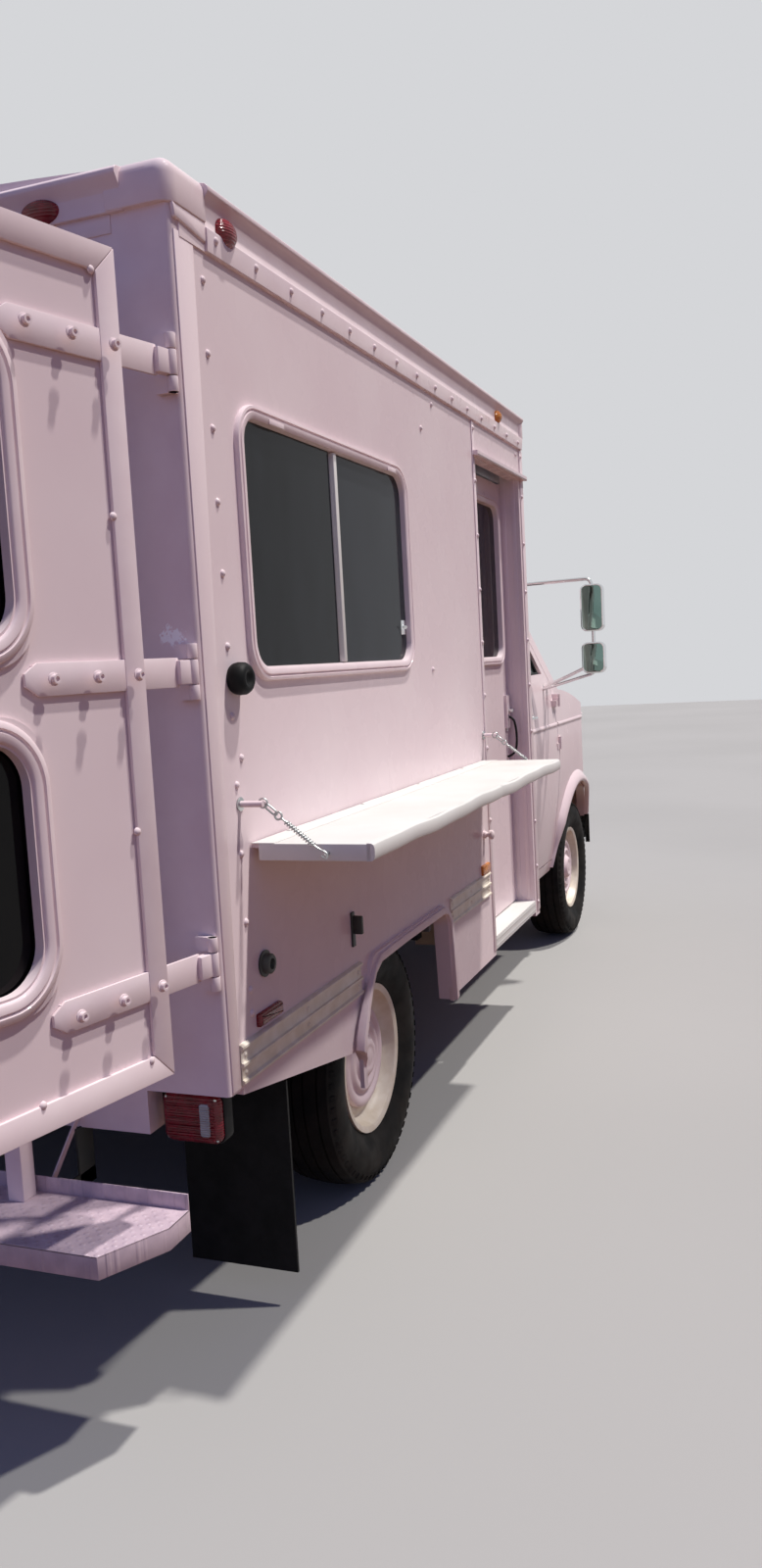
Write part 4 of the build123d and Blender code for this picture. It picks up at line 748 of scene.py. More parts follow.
def door_dressing(side):
    """The trim of one rear door, made closed: border strips, window rings, straps and their bolts."""

    def out(distance):
        """The Y place at a distance from the hinge pins towards the middle of the truck."""
        return side * PIN_OUT - side * distance

    edge, inner_edge, far, far_inner = 0.134, 0.186, 1.076, 1.024
    low, high, low_in, high_in = 0.753, 2.362, 0.806, 2.309
    mitre = 0.0008
    outlines = [((d, low + mitre), (d, high - mitre), (inner, high_in - mitre), (inner, low_in + mitre))
                for d, inner in ((edge, inner_edge), (far, far_inner))]
    outlines += [((edge + mitre, z), (far - mitre, z), (far_inner - mitre, inner),
                  (inner_edge + mitre, inner))
                 for z, inner in ((high, high_in), (low, low_in))]
    borders = [soften(drawn([(DOOR_FACE, out(d), z) for d, z in outline], (-0.009, 0, 0)), 0.0022)
               for outline in outlines]
    screws_at = [(d, z) for d in (inner_edge, far_inner) for z in (1.257, 1.860)]
    screws_at += [(d, z) for d in (inner_edge + 0.010, far_inner - 0.010) for z in (0.800, 2.308)]
    screws_at += [(d, z) for d in (0.47, 0.76) for z in (low_in, high_in)]
    screws = copied(dome_screw(), [(DOOR_FACE - 0.006, out(d), z) for d, z in screws_at], REAR_SIDE)
    window_middle, window_width, ring_reach = 0.6525, 0.435, 0.076
    rings = [plate((DOOR_FACE - 0.003, out(window_middle), z), REAR_SIDE,
                   (window_width + ring_reach, window_height + ring_reach), 0.125, ring_steps,
                   open_middle=True, segments=12)
             for z, window_height in ((1.2355, 0.449), (1.886, 0.528))]
    # The left strap starts further out and its root is thinner, to clear the post with its door folded back
    root, root_x = (0.036, PIN_X - 0.004) if side < 0 else (0.074, PIN_X + 0.003)
    tip, wide = 0.430, 0.030
    outline = ((root, -wide), (tip - 0.030, -wide), (tip, -0.011), (tip, 0.011), (tip - 0.030, wide),
               (root, wide))
    straps, bolts_at = [], []
    for z in strap_heights:
        strap = drawn([(DOOR_FACE - 0.001, out(d), z + dz) for d, dz in outline], (-0.0065, 0, 0))
        open_with(strap, lambda face: face.normal.x < -0.9)
        for width, rise in ((0.006, 0.0), (0.001, 0.006), (0.003, 0.006), (0.006, 0.004), (0.008, 0.0015)):
            bpy.ops.mesh.inset(thickness=width, depth=rise)
        bpy.ops.object.mode_set(mode="OBJECT")
        straps.append(soften(strap, 0.0012, 2, 24))
        straps.append(block((root_x, out(0.003), z - strap_half),
                            (DOOR_FACE - 0.002, out(root + 0.006), z + strap_half), 0.002))
        straps.append(bar((PIN_X, side * PIN_OUT, z - strap_half), (PIN_X, side * PIN_OUT, z + strap_half),
                          knuckle_radius, 20, 0.001))
        bolts_at += [(DOOR_FACE - 0.0255, out(d), z) for d in (0.382, 0.275, 0.170)]
    bolts = copied(socket_bolt(), bolts_at, REAR_SIDE)
    return joined(borders), joined(rings), joined(straps), joined([screws, bolts])


for side, name, turn in SIDES:
    parts = door_dressing(side)
    if side < 0:
        parts = [swung(part) for part in parts]
    for part, kind, smooth in zip(parts, ("rear_door_border_", "rear_window_rings_", "strap_hinges_",
                                          "strap_bolts_"), (35, 40, 40, 35)):
        dress(part, kind + name, trim_paint, "rear_door_" + name + "_leaf", smooth=smooth)

# Fixed leaves and outer knuckles of the door hinges, with their screws
leaves, leaf_screws = [], []
for side in (-1, 1):
    y = side * PIN_OUT
    for z in strap_heights:
        for low, high in ((z - 0.0575, z - 0.027), (z + 0.027, z + 0.0575)):
            leaves.append(bar((PIN_X, y, low), (PIN_X, y, high), knuckle_radius, 20, 0.0012))
            leaves.append(block((REAR - 0.004, y - side * 0.004, low), (REAR, y - side * 0.036, high), 0.001))
            leaf_screws.append((REAR - 0.004, y - side * 0.026, (low + high) / 2))
dress(joined(leaves), "hinge_leaves", trim_paint)
dress(copied(dome_screw((0.45, 0.45, 0.3)), leaf_screws, REAR_SIDE), "hinge_leaf_screws", chassis_paint)

# Serving window

window_steps = ((0.0, 0.008), (0.002, 0.004), (0.006, 0.001), (0.002, -0.004), (0.003, 0.0), (0.002, 0.004),
                (0.010, 0.0), (0.006, -0.004), (0.003, -0.020), (0.0, -0.020))
window_foot, window_top = 1.566, 2.114
ring = plate(at(0.780, 0, 1.840), RIGHT_SIDE, (1.128, 0.618), 0.094, window_steps, open_middle=True,
             segments=12)
vents = [block(at(start, 0.0145, 2.118), at(end, 0.010, 2.130), 0.001)
         for start, end in ((0.375, 0.455), (1.165, 1.235))]
dress(joined([ring] + vents), "serving_window_frame", trim_paint, hides=("service_window_frame",), smooth=40)
bars = [block(at(0.775, 0.004, window_foot), at(0.796, -0.030, window_top), 0.003),
        block(at(0.752, -0.010, window_foot), at(0.776, -0.034, window_top), 0.002)]
dress(joined(bars), "serving_window_bars", shelf_paint)
latch = [block(at(1.262, 0, 1.640), at(1.292, -0.012, 1.685), 0.003),
         bar(at(1.27, 0.008, 1.662), at(1.28, -0.006, 1.668), 0.006, 12, 0.001)]
dress(joined(latch), "serving_window_latch", chrome_plate)

# Fold-up shelf with its wavy lip

SHELF_START, SHELF_END = 0.165, 2.076       # ahead of the rear face
STAY_OUT, STAY_Z = 0.190, 1.154             # the pins that the stays hold the shelf by
EYE_OUT, EYE_Z = 0.050, 1.267               # the eyes that the stays hang from


def wavy_lip():
    """The rounded wooden lip along the shelf's outer edge, slightly bowed between its joints."""
    start, end = REAR + SHELF_START, REAR + SHELF_END
    section = [(-0.038, 1.1745), (-0.048, 1.174), (-0.0535, 1.1705), (-0.0558, 1.164), (-0.0558, 1.146),
               (-0.0535, 1.139), (-0.048, 1.1355), (-0.036, 1.1355)]
    lip = drawn([(start, -HALF - 0.242 + dy, z) for dy, z in section], (end - start, 0, 0))
    bpy.ops.object.mode_set(mode="EDIT")
    bpy.ops.mesh.select_all(action="DESELECT")
    mesh = bmesh.from_edit_mesh(lip.data)
    for edge in mesh.edges:
        edge.select_set(abs(edge.verts[0].co.x - edge.verts[1].co.x) > 1.0)
    bmesh.update_edit_mesh(lip.data)
    bpy.ops.mesh.subdivide(number_cuts=60)
    bpy.ops.object.mode_set(mode="OBJECT")
    for vertex in lip.data.vertices:
        along = vertex.co.x - start
        if vertex.co.y < -HALF - 0.28:
            vertex.co.z += 0.0022 * math.sin(along * 9.0) + 0.0012 * math.sin(along * 23.0 + 1.0)
            vertex.co.y += 0.004 if any(abs(along - joint) < 0.012 for joint in (1.10, 1.52)) else 0.0
    return lip


shelf = [block(at(SHELF_START, 0.290, 1.136), at(SHELF_END, 0.021, 1.174), 0.002), wavy_lip(),
         block(at(SHELF_START, 0.060, 1.1738), at(SHELF_END, 0.003, 1.1755), 0.0005)]
for share in (0.125, 0.375, 0.625, 0.875):
    middle = SHELF_START + share * (SHELF_END - SHELF_START)
    shelf.append(bar(at(middle - 0.06, 0.012, 1.168), at(middle + 0.06, 0.012, 1.168), 0.0101))
    shelf.append(block(at(middle - 0.06, 0.030, 1.160), at(middle + 0.06, 0.014, 1.168), 0.001))
dress(joined(shelf), "shelf_board", shelf_paint, "shelf", hides=("serving_shelf",))
end_pins = [bar(at(start, STAY_OUT, STAY_Z), at(end, STAY_OUT, STAY_Z), 0.004)
            for start, end in ((SHELF_START + 0.001, SHELF_START - 0.013),
                               (SHELF_END - 0.001, SHELF_END + 0.013))]
dress(joined(end_pins), "shelf_end_pins", zinc, "shelf")


def stay(x):
    """One shelf stay: eye, link of two rings, turnbuckle and the hook on the shelf's end."""
    top = Vector(at(x, EYE_OUT, EYE_Z))
    foot = Vector(at(x, STAY_OUT, STAY_Z))
    run = (foot - top).normalized()
    side = Vector((1, 0, 0)).cross(run) * 0.005

    def down(length, aside=0):
        """A place down the stay from its eye, on its line or on one side of it."""
        return top + run * length + side * aside

    parts = []
    for start, size in ((0.0, 0.011), (0.045, 0.009)):
        points = [down(start) + Vector((0, math.cos(angle), math.sin(angle))) * size
                  for angle in [k * math.pi / 4 for k in range(8)]]
        parts.append(wire(points, 0.0024, closed=True))
    link = [down(0.010, 1), down(0.022, 1), down(0.036, 1), down(0.042), down(0.036, -1), down(0.022, -1),
            down(0.010, -1), down(0.004)]
    parts.append(wire(link, 0.0022, closed=True))
    parts.append(bar(down(0.052), down(0.066), 0.0026))
    turns, per_turn, coil_radius = 12, 8, 0.0052
    coil = []
    for k in range(turns * per_turn + 1):
        angle = 2 * math.pi * k / per_turn
        offset = Vector((math.cos(angle), 0, 0)) + side.normalized() * math.sin(angle)
        coil.append(down(0.066 + 0.082 * k / (turns * per_turn)) + offset * coil_radius)
    parts.append(wire(coil, 0.0018, sides=2))
    parts.append(bar(down(0.066), down(0.150), 0.0032))
    hook = [down(0.150), down(0.160)]
    hook += [foot + Vector((0, y, z)) for y, z in ((-0.006, 0.004), (-0.006, -0.006), (0.002, -0.009),
                                                  (0.008, -0.003))]
    parts.append(wire(hook, 0.0024))
    return joined(parts)


for name, x in (("rear", 0.145), ("front", 2.096)):
    dress(stay(x), "stay_chain_" + name, zinc, name + "_shelf_stay", hides=("stay_" + name,), smooth=60)
eyes = [bar(at(x, 0, EYE_Z), at(x, 0.004, EYE_Z), 0.016, 20, 0.001) for x in (0.131, 2.110)]
dress(joined(eyes), "stay_eye_plates", zinc)

# Side wall fittings

# Pressed grip slots along the entry step's outer edge: two rows of short dark marks that paint the shade
# inside the slots
slot_shades = [plate(at(2.176 + 0.030 * k, 0.0005, z), RIGHT_SIDE, (0.009, 0.020), 0.004, ((0.001, 0.0008),),
                    segments=2) for k in range(21) for z in (0.437, 0.469)]
dress(joined(slot_shades), "entry_step_slot_painted_shades", rubber)

# Rubber door stop by the rear post: a turned bumper with a dished face
stop = turned([(0.0, 0.0), (0.0, 0.030), (0.006, 0.034), (0.016, 0.036), (0.030, 0.035), (0.038, 0.030),
               (0.042, 0.024), (0.040, 0.016), (0.034, 0.012), (0.032, 0.0)], at(0.139, 0, 1.540), -1, 36,
              close=False)
dress(stop, "door_stop", rubber, smooth=60)

# Latch keeper, water inlet and the round knob by the doorway
keeper = [block(at(0.716, 0.006, 0.800), at(0.736, 0, 0.895), 0.002),
          block(at(0.720, 0.032, 0.835), at(0.732, 0.004, 0.885), 0.003)]
dress(joined(keeper), "latch_keeper", chassis_paint)
inlet = turned([(0.0, 0.0), (0.0, 0.030), (0.004, 0.031), (0.006, 0.024), (0.018, 0.023), (0.021, 0.020),
                (0.021, 0.013), (0.012, 0.011), (0.011, 0.0)], at(0.198, 0, 0.893), -1, 32, close=False)
dress(inlet, "water_inlet", iron_skin, smooth=50)
knob = turned([(0.0, 0.0), (0.0, 0.014), (0.008, 0.014), (0.012, 0.009), (0.020, 0.009), (0.023, 0.017),
               (0.034, 0.018), (0.039, 0.011), (0.040, 0.0)], at(2.058, 0, 0.897), -1, 24, close=False)
dress(knob, "latch_knob", trim_paint, smooth=50)

# Rub rails: two flat bands between three ridges, with screws
rub_section = [(0.0, 0.658), (0.006, 0.659), (0.011, 0.663), (0.011, 0.668), (0.005, 0.672), (0.0045, 0.696),
               (0.006, 0.699), (0.011, 0.701), (0.011, 0.707), (0.006, 0.709), (0.0045, 0.712),
               (0.005, 0.736), (0.011, 0.740), (0.011, 0.745), (0.006, 0.749), (0.0, 0.750)]
rubs, rub_screws = [], []
for start, end in ((0.050, 0.761), (1.595, 2.097)):
    rubs.append(both(drawn([at(start, out, z) for out, z in rub_section], (end - start, 0, 0))))
    rub_screws += [at(x, 0.0045, z) for x in (start + 0.02, (start + end) / 2, end - 0.02)
                   for z in (0.684, 0.724)]
dress(joined(rubs), "rub_rail_mouldings", cream_paint, hides=("rub_rails",))
dress(both(copied(dome_screw((0.75, 0.75, 0.6)), rub_screws, RIGHT_SIDE)), "rub_rail_screws", cream_paint)

# Entry door and doorway

DOOR_IN = -0.085        # how far out the entry door's face stands
HANDLE_X = 2.8028       # its handle, ahead of the box's rear face
entry_ring = plate(at(2.5053, DOOR_IN, 1.870), RIGHT_SIDE, (0.567, 0.690), 0.085, window_steps,
                   open_middle=True, segments=10)
dress(entry_ring, "entry_window_ring", trim_paint, "entry_door_leaf", smooth=40)


def by_handle(x, out, z):
    """A place beside the entry door's handle, measured from the door's face."""
    return at(HANDLE_X + x, DOOR_IN + out, z)


pull = [block(by_handle(-0.016, 0.006, 1.235), by_handle(0.012, 0, 1.345), 0.002),
        bar(by_handle(-0.004, 0.004, 1.325), by_handle(-0.004, 0.030, 1.325), 0.007, 12, 0.001),
        block(by_handle(-0.026, 0.034, 1.318), by_handle(0.006, 0.024, 1.332), 0.003)]
dress(joined(pull), "entry_latch", chrome_plate, "entry_door_leaf")
grab = wire([by_handle(x, out, z) for x, out, z in (
    (-0.010, 0.001, 1.300), (-0.010, 0.030, 1.296), (-0.002, 0.040, 1.25), (-0.002, 0.042, 1.19),
    (-0.010, 0.034, 1.135), (-0.018, 0.002, 1.125))], 0.005)
dress(grab, "entry_grab", rubber, "entry_door_leaf")
cap = drawn([at(2.132, out, z) for out, z in ((0, 2.304), (0.022, 2.302), (0.022, 2.308), (0.004, 2.322),
                                             (0, 2.322))], (0.776, 0, 0))
dress(soften(cap, 0.001, 1), "drip_cap", trim_paint)
ribs = [block((REAR + start, low, 0.48), (REAR + 2.836, high, 2.30), edge)
        for start, low, high, edge in ((2.832, -1.072, -1.054, 0.0015), (2.832, -1.030, -1.012, 0.0015),
                                       (2.829, -1.004, -0.998, 0.001))]
dress(joined(ribs), "doorway_ribs", body_paint)

# Nosing of the entry step with its two rows of raised studs
nosing = plate(at(2.4955, 0.0005, 0.454), RIGHT_SIDE, (0.671, 0.048), steps=((0.001, 0.001),))
studs = [at(2.175 + 0.0165 * k, 0.001, z) for k in range(40) for z in (0.442, 0.466)]
dress(joined([nosing, copied(dome_screw((0.6, 0.6, 0.35)), studs, RIGHT_SIDE)]), "entry_step_nosing",
      shelf_paint)

# Wheels

# Half of the tyre from its middle rib to the bead, as (distance from its middle, radius)
tyre_half = [(0.0135, 0.3725), (0.014, 0.3635), (0.0195, 0.3635), (0.020, 0.3720), (0.0535, 0.3685),
             (0.054, 0.3595), (0.0595, 0.3595), (0.060, 0.3675), (0.086, 0.3625), (0.090, 0.356),
             (0.098, 0.342), (0.105, 0.318), (0.1065, 0.292), (0.098, 0.262), (0.084, 0.238), (0.074, 0.222),
             (0.070, 0.204)]
tyre_section = [(-along, radius) for along, radius in reversed(tyre_half)] + tyre_half
rim_section = [(0.0825, 0.222), (0.0825, 0.214), (0.078, 0.2035), (0.066, 0.2000), (0.052, 0.1955),
               (0.040, 0.190), (0.034, 0.182), (0.034, 0.172), (0.040, 0.164), (0.042, 0.154),
               (0.036, 0.146), (-0.004, 0.140), (-0.020, 0.150), (-0.020, 0.196), (-0.0825, 0.204),
               (-0.0825, 0.222), (-0.0745, 0.222), (-0.0745, 0.2035), (0.0745, 0.2035), (0.0745, 0.222)]
disc_section = [(0.030, 0.150), (0.044, 0.151), (0.054, 0.148), (0.058, 0.141), (0.058, 0.128),
                (0.053, 0.122), (0.051, 0.114), (0.054, 0.107), (0.060, 0.102), (0.062, 0.094),
                (0.059, 0.086), (0.055, 0.080), (0.055, 0.068), (0.059, 0.061), (0.067, 0.057),
                (0.072, 0.051), (0.0745, 0.042), (0.073, 0.034), (0.071, 0.028), (0.073, 0.020), (0.074, 0.0)]


def tread_lug():
    """One shoulder lug of a tyre at the origin, at the top of the tyre."""
    lug = block((-0.0085, 0.072, 0.340), (0.0085, 0.1005, 0.3655))
    for vertex in lug.data.vertices:
        if vertex.co.y > 0.09 and vertex.co.z > 0.36:
            vertex.co.z -= 0.013
            vertex.co.y -= 0.004
        if vertex.co.y > 0.09 and vertex.co.z < 0.345:
            vertex.co.y += 0.002
    return soften(lug, 0.001, 1)


for end, axle, out in (("front", FRONT_AXLE, 0.878), ("rear", REAR_AXLE, 0.914)):
    for side, hand, turn in SIDES:
        name = end + "_" + hand
        centre = (axle, side * out, WHEEL_Z)
        body = end + "_wheel_" + hand
        tyre = turned(tyre_section, centre, side, 72)
        lugs = ringed(both(tread_lug()), centre, 64)
        dress(joined([tyre, lugs]), "tyre_tread_" + name, tyre_rubber, body, hides=("tyre_" + name,))
        dress(turned(rim_section, centre, side, 64), "rim_shell_" + name, cream_paint, body,
              hides=("rim_" + name,))
        disc = turned(disc_section, centre, side, 64, close=False)
        dress(disc, "wheel_disc_" + name, trim_paint, body, smooth=40)

# Rear step: tread, hangers, posts and struts

step_outline = [(-0.117, -1.041), (-0.200, -1.041), (-0.340, -0.965), (-0.340, 0.965), (-0.200, 1.041),
                (-0.117, 1.041)]
step_foot, step_under, step_top = 0.403, 0.4465, 0.451
step_plate = drawn([(REAR + x, y, step_under) for x, y in step_outline], (0, 0, step_top - step_under))
step_rim = drawn([(REAR + x, y, step_foot) for x, y in step_outline], (0, 0, 0.0475))
open_with(step_rim, lambda face: abs(face.normal.z) > 0.9)
bpy.ops.mesh.delete(type="FACE")
bpy.ops.object.mode_set(mode="OBJECT")
modify(step_rim, "SOLIDIFY", thickness=0.003, offset=-1)
step_flange = block((REAR - 0.121, -1.041, 0.448), (REAR - 0.117, 1.041, 0.485), 0.001)
dress(joined([soften(step_plate, 0.0015), soften(step_rim, 0.001), step_flange]), "rear_step_plate",
      chequer_paint_with_painted_shade, hides=("rear_step",))
# The hangers take the black chassis paint as painted shade, so that they vanish as if in shadow under the
# step
hangers = [block((REAR + start, y - 0.003, 0.411), (REAR + 0.040, y + 0.003, top), 0.001)
           for y in (-0.700, -0.260, 0.260, 0.700) for start, top in ((-0.119, 0.446), (-0.020, 0.552))]
dress(joined(hangers), "rear_step_hangers", chassis_paint)
posts = []
for side in (-1, 1):
    inner, outer, strut, foot = side * 0.630, side * 0.673, side * 0.682, side * 0.698
    posts.append(block((REAR - 0.179, inner, 0.450), (REAR - 0.135, outer, 0.700), 0.004))
    posts.append(block((REAR - 0.179, inner, 0.656), (REAR + 0.004, outer, 0.700), 0.004))
    posts.append(drawn([(REAR - 0.110, strut, 0.455), (REAR - 0.090, strut, 0.455),
                        (REAR + 0.006, foot, 0.580), (REAR - 0.012, foot, 0.580)], (0, side * 0.004, 0)))
dress(joined(posts), "rear_step_posts", trim_paint)

# Wheel arch lips of the box: a folded channel, deepest at its rear foot

def arch_channel(side):
    """The lip that stands out around one rear wheel arch."""
    path = [(0.748, 0.405, 0.004), (0.745, 0.452, 0.010), (0.720, 0.492, 0.026), (0.700, 0.518, 0.034),
            (0.708, 0.552, 0.034), (0.731, 0.593, 0.033), (0.760, 0.629, 0.029), (0.795, 0.662, 0.024),
            (0.840, 0.697, 0.019), (0.890, 0.718, 0.018), (1.100, 0.722, 0.018), (1.400, 0.722, 0.018),
            (1.490, 0.722, 0.019), (1.520, 0.712, 0.020), (1.538, 0.680, 0.022), (1.545, 0.600, 0.024),
            (1.555, 0.410, 0.026)]
    inner = [at(x, -0.002, z, side) for x, z, deep in path]
    outer = [at(x, deep, z, side) for x, z, deep in path]
    face, behind = [], []
    for x, z, deep in path:
        back = -0.018 if x < 0.78 and z > 0.5 else -0.004 if x < 0.78 else 0.020 if x > 1.53 else 0
        up = 0.020 if 0.78 <= x <= 1.53 else 0.008
        face.append(at(x + back, deep, z + up, side))
        behind.append(at(x + back, 0.012, z + up, side))
    return soften(sheet([inner, outer, face, behind], 0.0025), 0.003, 2, 50)


dress(joined([arch_channel(-1), arch_channel(1)]), "arch_channels", trim_paint, smooth=45)

# Cab: arch flares, crease, corner lamps, window seals, handles and wipers

def over_panel(solid, rows, side):
    """A strip that follows a cab panel: rows of (x, z, lift) points laid on the panel from outside."""
    laid = []
    for row in rows:
        line = []
        for x, z, lift in row:
            place = on_skin(solid, (x, 0, z), (0, -side, 0))
            line.append((x, (place.y if place else line[-1][1] - side * lift) + side * lift, z))
        laid.append(line)
    return sheet(laid, 0.002)


ARCH = 0.478            # inner radius of the flares
SKIN = 0.500            # radius at which a flare takes its place from the panels


def flare_skin(angle, side, name):
    """How far out the cab's panels stand just outside the arch at an angle."""
    point = (FRONT_AXLE + SKIN * math.cos(angle), 0, WHEEL_Z + SKIN * math.sin(angle))
    places = [on_skin(solid, point, (0, -side, 0))
              for solid in ("front_clip", "cab_shell", "cab_door_" + name)]
    return max((abs(place.y) for place in places if place), default=0.0)


def flare(side, name):
    """The swollen lip over one front wheel, flatter where it runs out behind the wheel."""
    turns = [30 + 3.5 * k for k in range(41)]
    skin = []
    for angle in turns:
        skin.append(flare_skin(math.radians(angle), side, name) or skin[-1])
    rows = []
    for reach, lift in ((0.0, 0.004), (0.001, 0.020), (0.006, 0.029), (0.018, 0.030), (0.037, 0.022),
                        (0.057, 0.008), (0.067, -0.002)):
        row = []
        for angle, y in zip(turns, skin):
            share = 1 - 0.88 * min(max((angle - 142) / 16, 0), 1)
            radius, turn = ARCH + reach * share, math.radians(angle)
            row.append((FRONT_AXLE + radius * math.cos(turn), side * (y + lift * (0.4 + 0.6 * share)),
                        WHEEL_Z + radius * math.sin(turn)))
        rows.append(row)
    return sheet(rows, 0.003)


dress(joined([flare(side, name) for side, name, turn in SIDES]), "front_arch_flares", cab_paint, smooth=60)


def crease(solid, side, start, end):
    """The raised line along one panel at belt level."""
    steps = [start + (end - start) * k / 24 for k in range(25)]
    rows = [[(x, BELT_Z + rise, lift) for x in steps]
            for rise, lift in ((0.010, 0.0005), (0.003, 0.0045), (-0.003, 0.0045), (-0.010, 0.0005))]
    return over_panel(solid, rows, side)


dress(joined([crease("front_clip", side, 1.902, 2.840) for side in (-1, 1)]), "wing_creases", cab_paint,
      smooth=60)
for side, name, turn in SIDES:
    dress(crease("cab_door_" + name, side, 1.176, 1.886), "door_crease_" + name, cab_paint,
          "cab_door_" + name + "_leaf", smooth=60)


def corner_lamp(side, grow, lift):
    """A raised lens or rim wrapped over a wing ahead of the front wheel."""
    start, pitch, last = 2.786, 0.010, 9
    low, high = 1.012 - grow, 1.102 + grow
    rows = [[(start + pitch * k, z, raised if 0 < k < last else 0.0) for k in range(last + 1)]
            for z, raised in ((high, 0.0), (high - 0.006, lift), (low + 0.006, lift), (low, 0.0))]
    return over_panel("front_clip", rows, side)


# Amber corner lamps on chrome rims
dress(joined([corner_lamp(side, 0.0, 0.012) for side in (-1, 1)]), "corner_lamp_lenses", amber_lens,
      smooth=50)
dress(joined([corner_lamp(side, 0.007, 0.005) for side in (-1, 1)]), "corner_lamp_rims", chrome_plate,
      smooth=50)


def along(points, count):
    """Points spread evenly over the straight sides of a closed outline, clear of its corners."""
    spread = []
    for a, b in zip(points, points[1:] + points[:1]):
        spread += [tuple(p + (q - p) * (k + 0.5) / count for p, q in zip(a, b)) for k in range(count)]
    return spread


def on_screen(y, z, out):
    """A place in front of the windscreen."""
    return (on_skin("windscreen", (0, y, z), (-1, 0, 0)).x + out, y, z)


# Rubber seals around the windscreen and the door windows; the screen's is measured a little inside its edge
screen_edge = [(-0.795, 1.436), (-0.728, 1.868), (0.728, 1.868), (0.795, 1.436)]
seal = []
for y, z in along(screen_edge, 9):
    inside = on_screen(y * 0.985, z + (1.652 - z) * 0.03, 0.004)
    seal.append((inside[0], y, z))
dress(wire(seal, 0.011, closed=True), "windscreen_seal", rubber, smooth=60)
window_edge = [(1.246, 1.462), (1.780, 1.462), (1.602, 1.868), (1.252, 1.868)]
HANDLE_Z = 1.263
for side, name, turn in SIDES:
    leaf = "cab_door_" + name + "_leaf"
    seal = []
    for x, z in along(window_edge, 6):
        place = on_skin("cab_glass_" + name, (x, 0, z), (0, -side, 0))
        if place:
            seal.append((x, place.y + side * 0.003, z))
    dress(wire(seal, 0.009, closed=True), "door_window_seal_" + name, rubber, leaf, smooth=60)
    # Chrome push-button handle of the door
    y = on_skin("cab_door_" + name, (1.300, 0, HANDLE_Z - 0.001), (0, -side, 0)).y
    grip = [(1.262, 0.004), (1.268, 0.030), (1.300, 0.036), (1.340, 0.034), (1.352, 0.006)]
    handle = [block((1.250, y, HANDLE_Z - 0.013), (1.372, y + side * 0.006, HANDLE_Z + 0.013), 0.003),
              wire([(x, y + side * lift, HANDLE_Z) for x, lift in grip], 0.0065, sides=4),
              bar((1.362, y, HANDLE_Z), (1.362, y + side * 0.014, HANDLE_Z), 0.008, 16, 0.001)]
    dress(joined(handle), "door_handle_" + name, chrome_plate, leaf, smooth=50)

# Wipers parked at the foot of the windscreen
wipers = []
for pivot, tip in ((-0.52, 0.02), (0.18, 0.68)):
    middle = (pivot + tip) / 2 + 0.08
    foot = (on_screen(pivot, 1.452, 0.022)[0], pivot, 1.440)
    wipers.append(bar(foot, on_screen(middle, 1.490, 0.022), 0.006, 10))
    wipers.append(wire([on_screen(middle - 0.21, 1.470, 0.010), on_screen(middle, 1.487, 0.010),
                        on_screen(middle + 0.21, 1.496, 0.010)], 0.006))
dress(joined(wipers), "wipers", rubber, smooth=60)

# Headlamps: square chrome rims with round lenses, and the frame around the grille
bowls, rims = [], []
headlamp_out = 0.700
for side in (-1, 1):
    rims.append(plate((NOSE - 0.022, side * headlamp_out, NOSE_Z), FRONT_SIDE, (0.208, 0.218), 0.022,
                      ((0.0, 0.016), (0.006, 0.004), (0.010, -0.002), (0.003, -0.010)), segments=4))
    bowls.append(dome_lamp((NOSE - 0.018, side * headlamp_out, NOSE_Z), FRONT_SIDE, 0.172, 0.172, 0.022))
rims.append(plate((NOSE - 0.070, 0, NOSE_Z), FRONT_SIDE, (1.118, 0.278), 0.012,
                  ((0.0, 0.040), (0.006, 0.003), (0.012, 0.0), (0.003, -0.030)), open_middle=True,
                  segments=3))
dress(joined(rims), "headlamp_rims", chrome_plate, smooth=40)
dress(joined(bowls), "headlamp_lenses", clear_lens, hides=("headlamps",), smooth=60)

# Grille: a plate of fifty cells between rounded bars
bpy.ops.mesh.primitive_grid_add(x_subdivisions=10, y_subdivisions=5, size=1,
                                location=(NOSE - 0.0402, 0, NOSE_Z), rotation=FRONT_SIDE)
cells = bpy.context.object
grille_width, grille_height = 1.119, 0.279
cells.scale = (grille_width, grille_height, 1)
settle(cells)
bpy.ops.object.mode_set(mode="EDIT")
bpy.ops.mesh.select_all(action="SELECT")
bpy.ops.mesh.inset(thickness=0.0055, depth=0, use_individual=True, use_boundary=True)
bpy.ops.mesh.delete(type="FACE")
bpy.ops.object.mode_set(mode="OBJECT")
modify(cells, "SOLIDIFY", thickness=0.028, offset=-1)
dress(soften(cells, 0.0022), "grille_cells", chrome_plate, hides=("grille",))

# Cab roof gutters over the doors
gutters = []
for side in (-1, 1):
    run = []
    for k in range(13):
        x = 1.02 + k * 0.046
        place = on_skin("cab_shell", (x, 0, 1.955), (0, -side, 0))
        if place:
            run.append((x, place.y + side * 0.004, 1.953))
    gutters.append(wire(run, 0.006))
dress(joined(gutters), "roof_gutters", cab_paint, smooth=60)

# Left side and roof: cover strips at the sheet joints

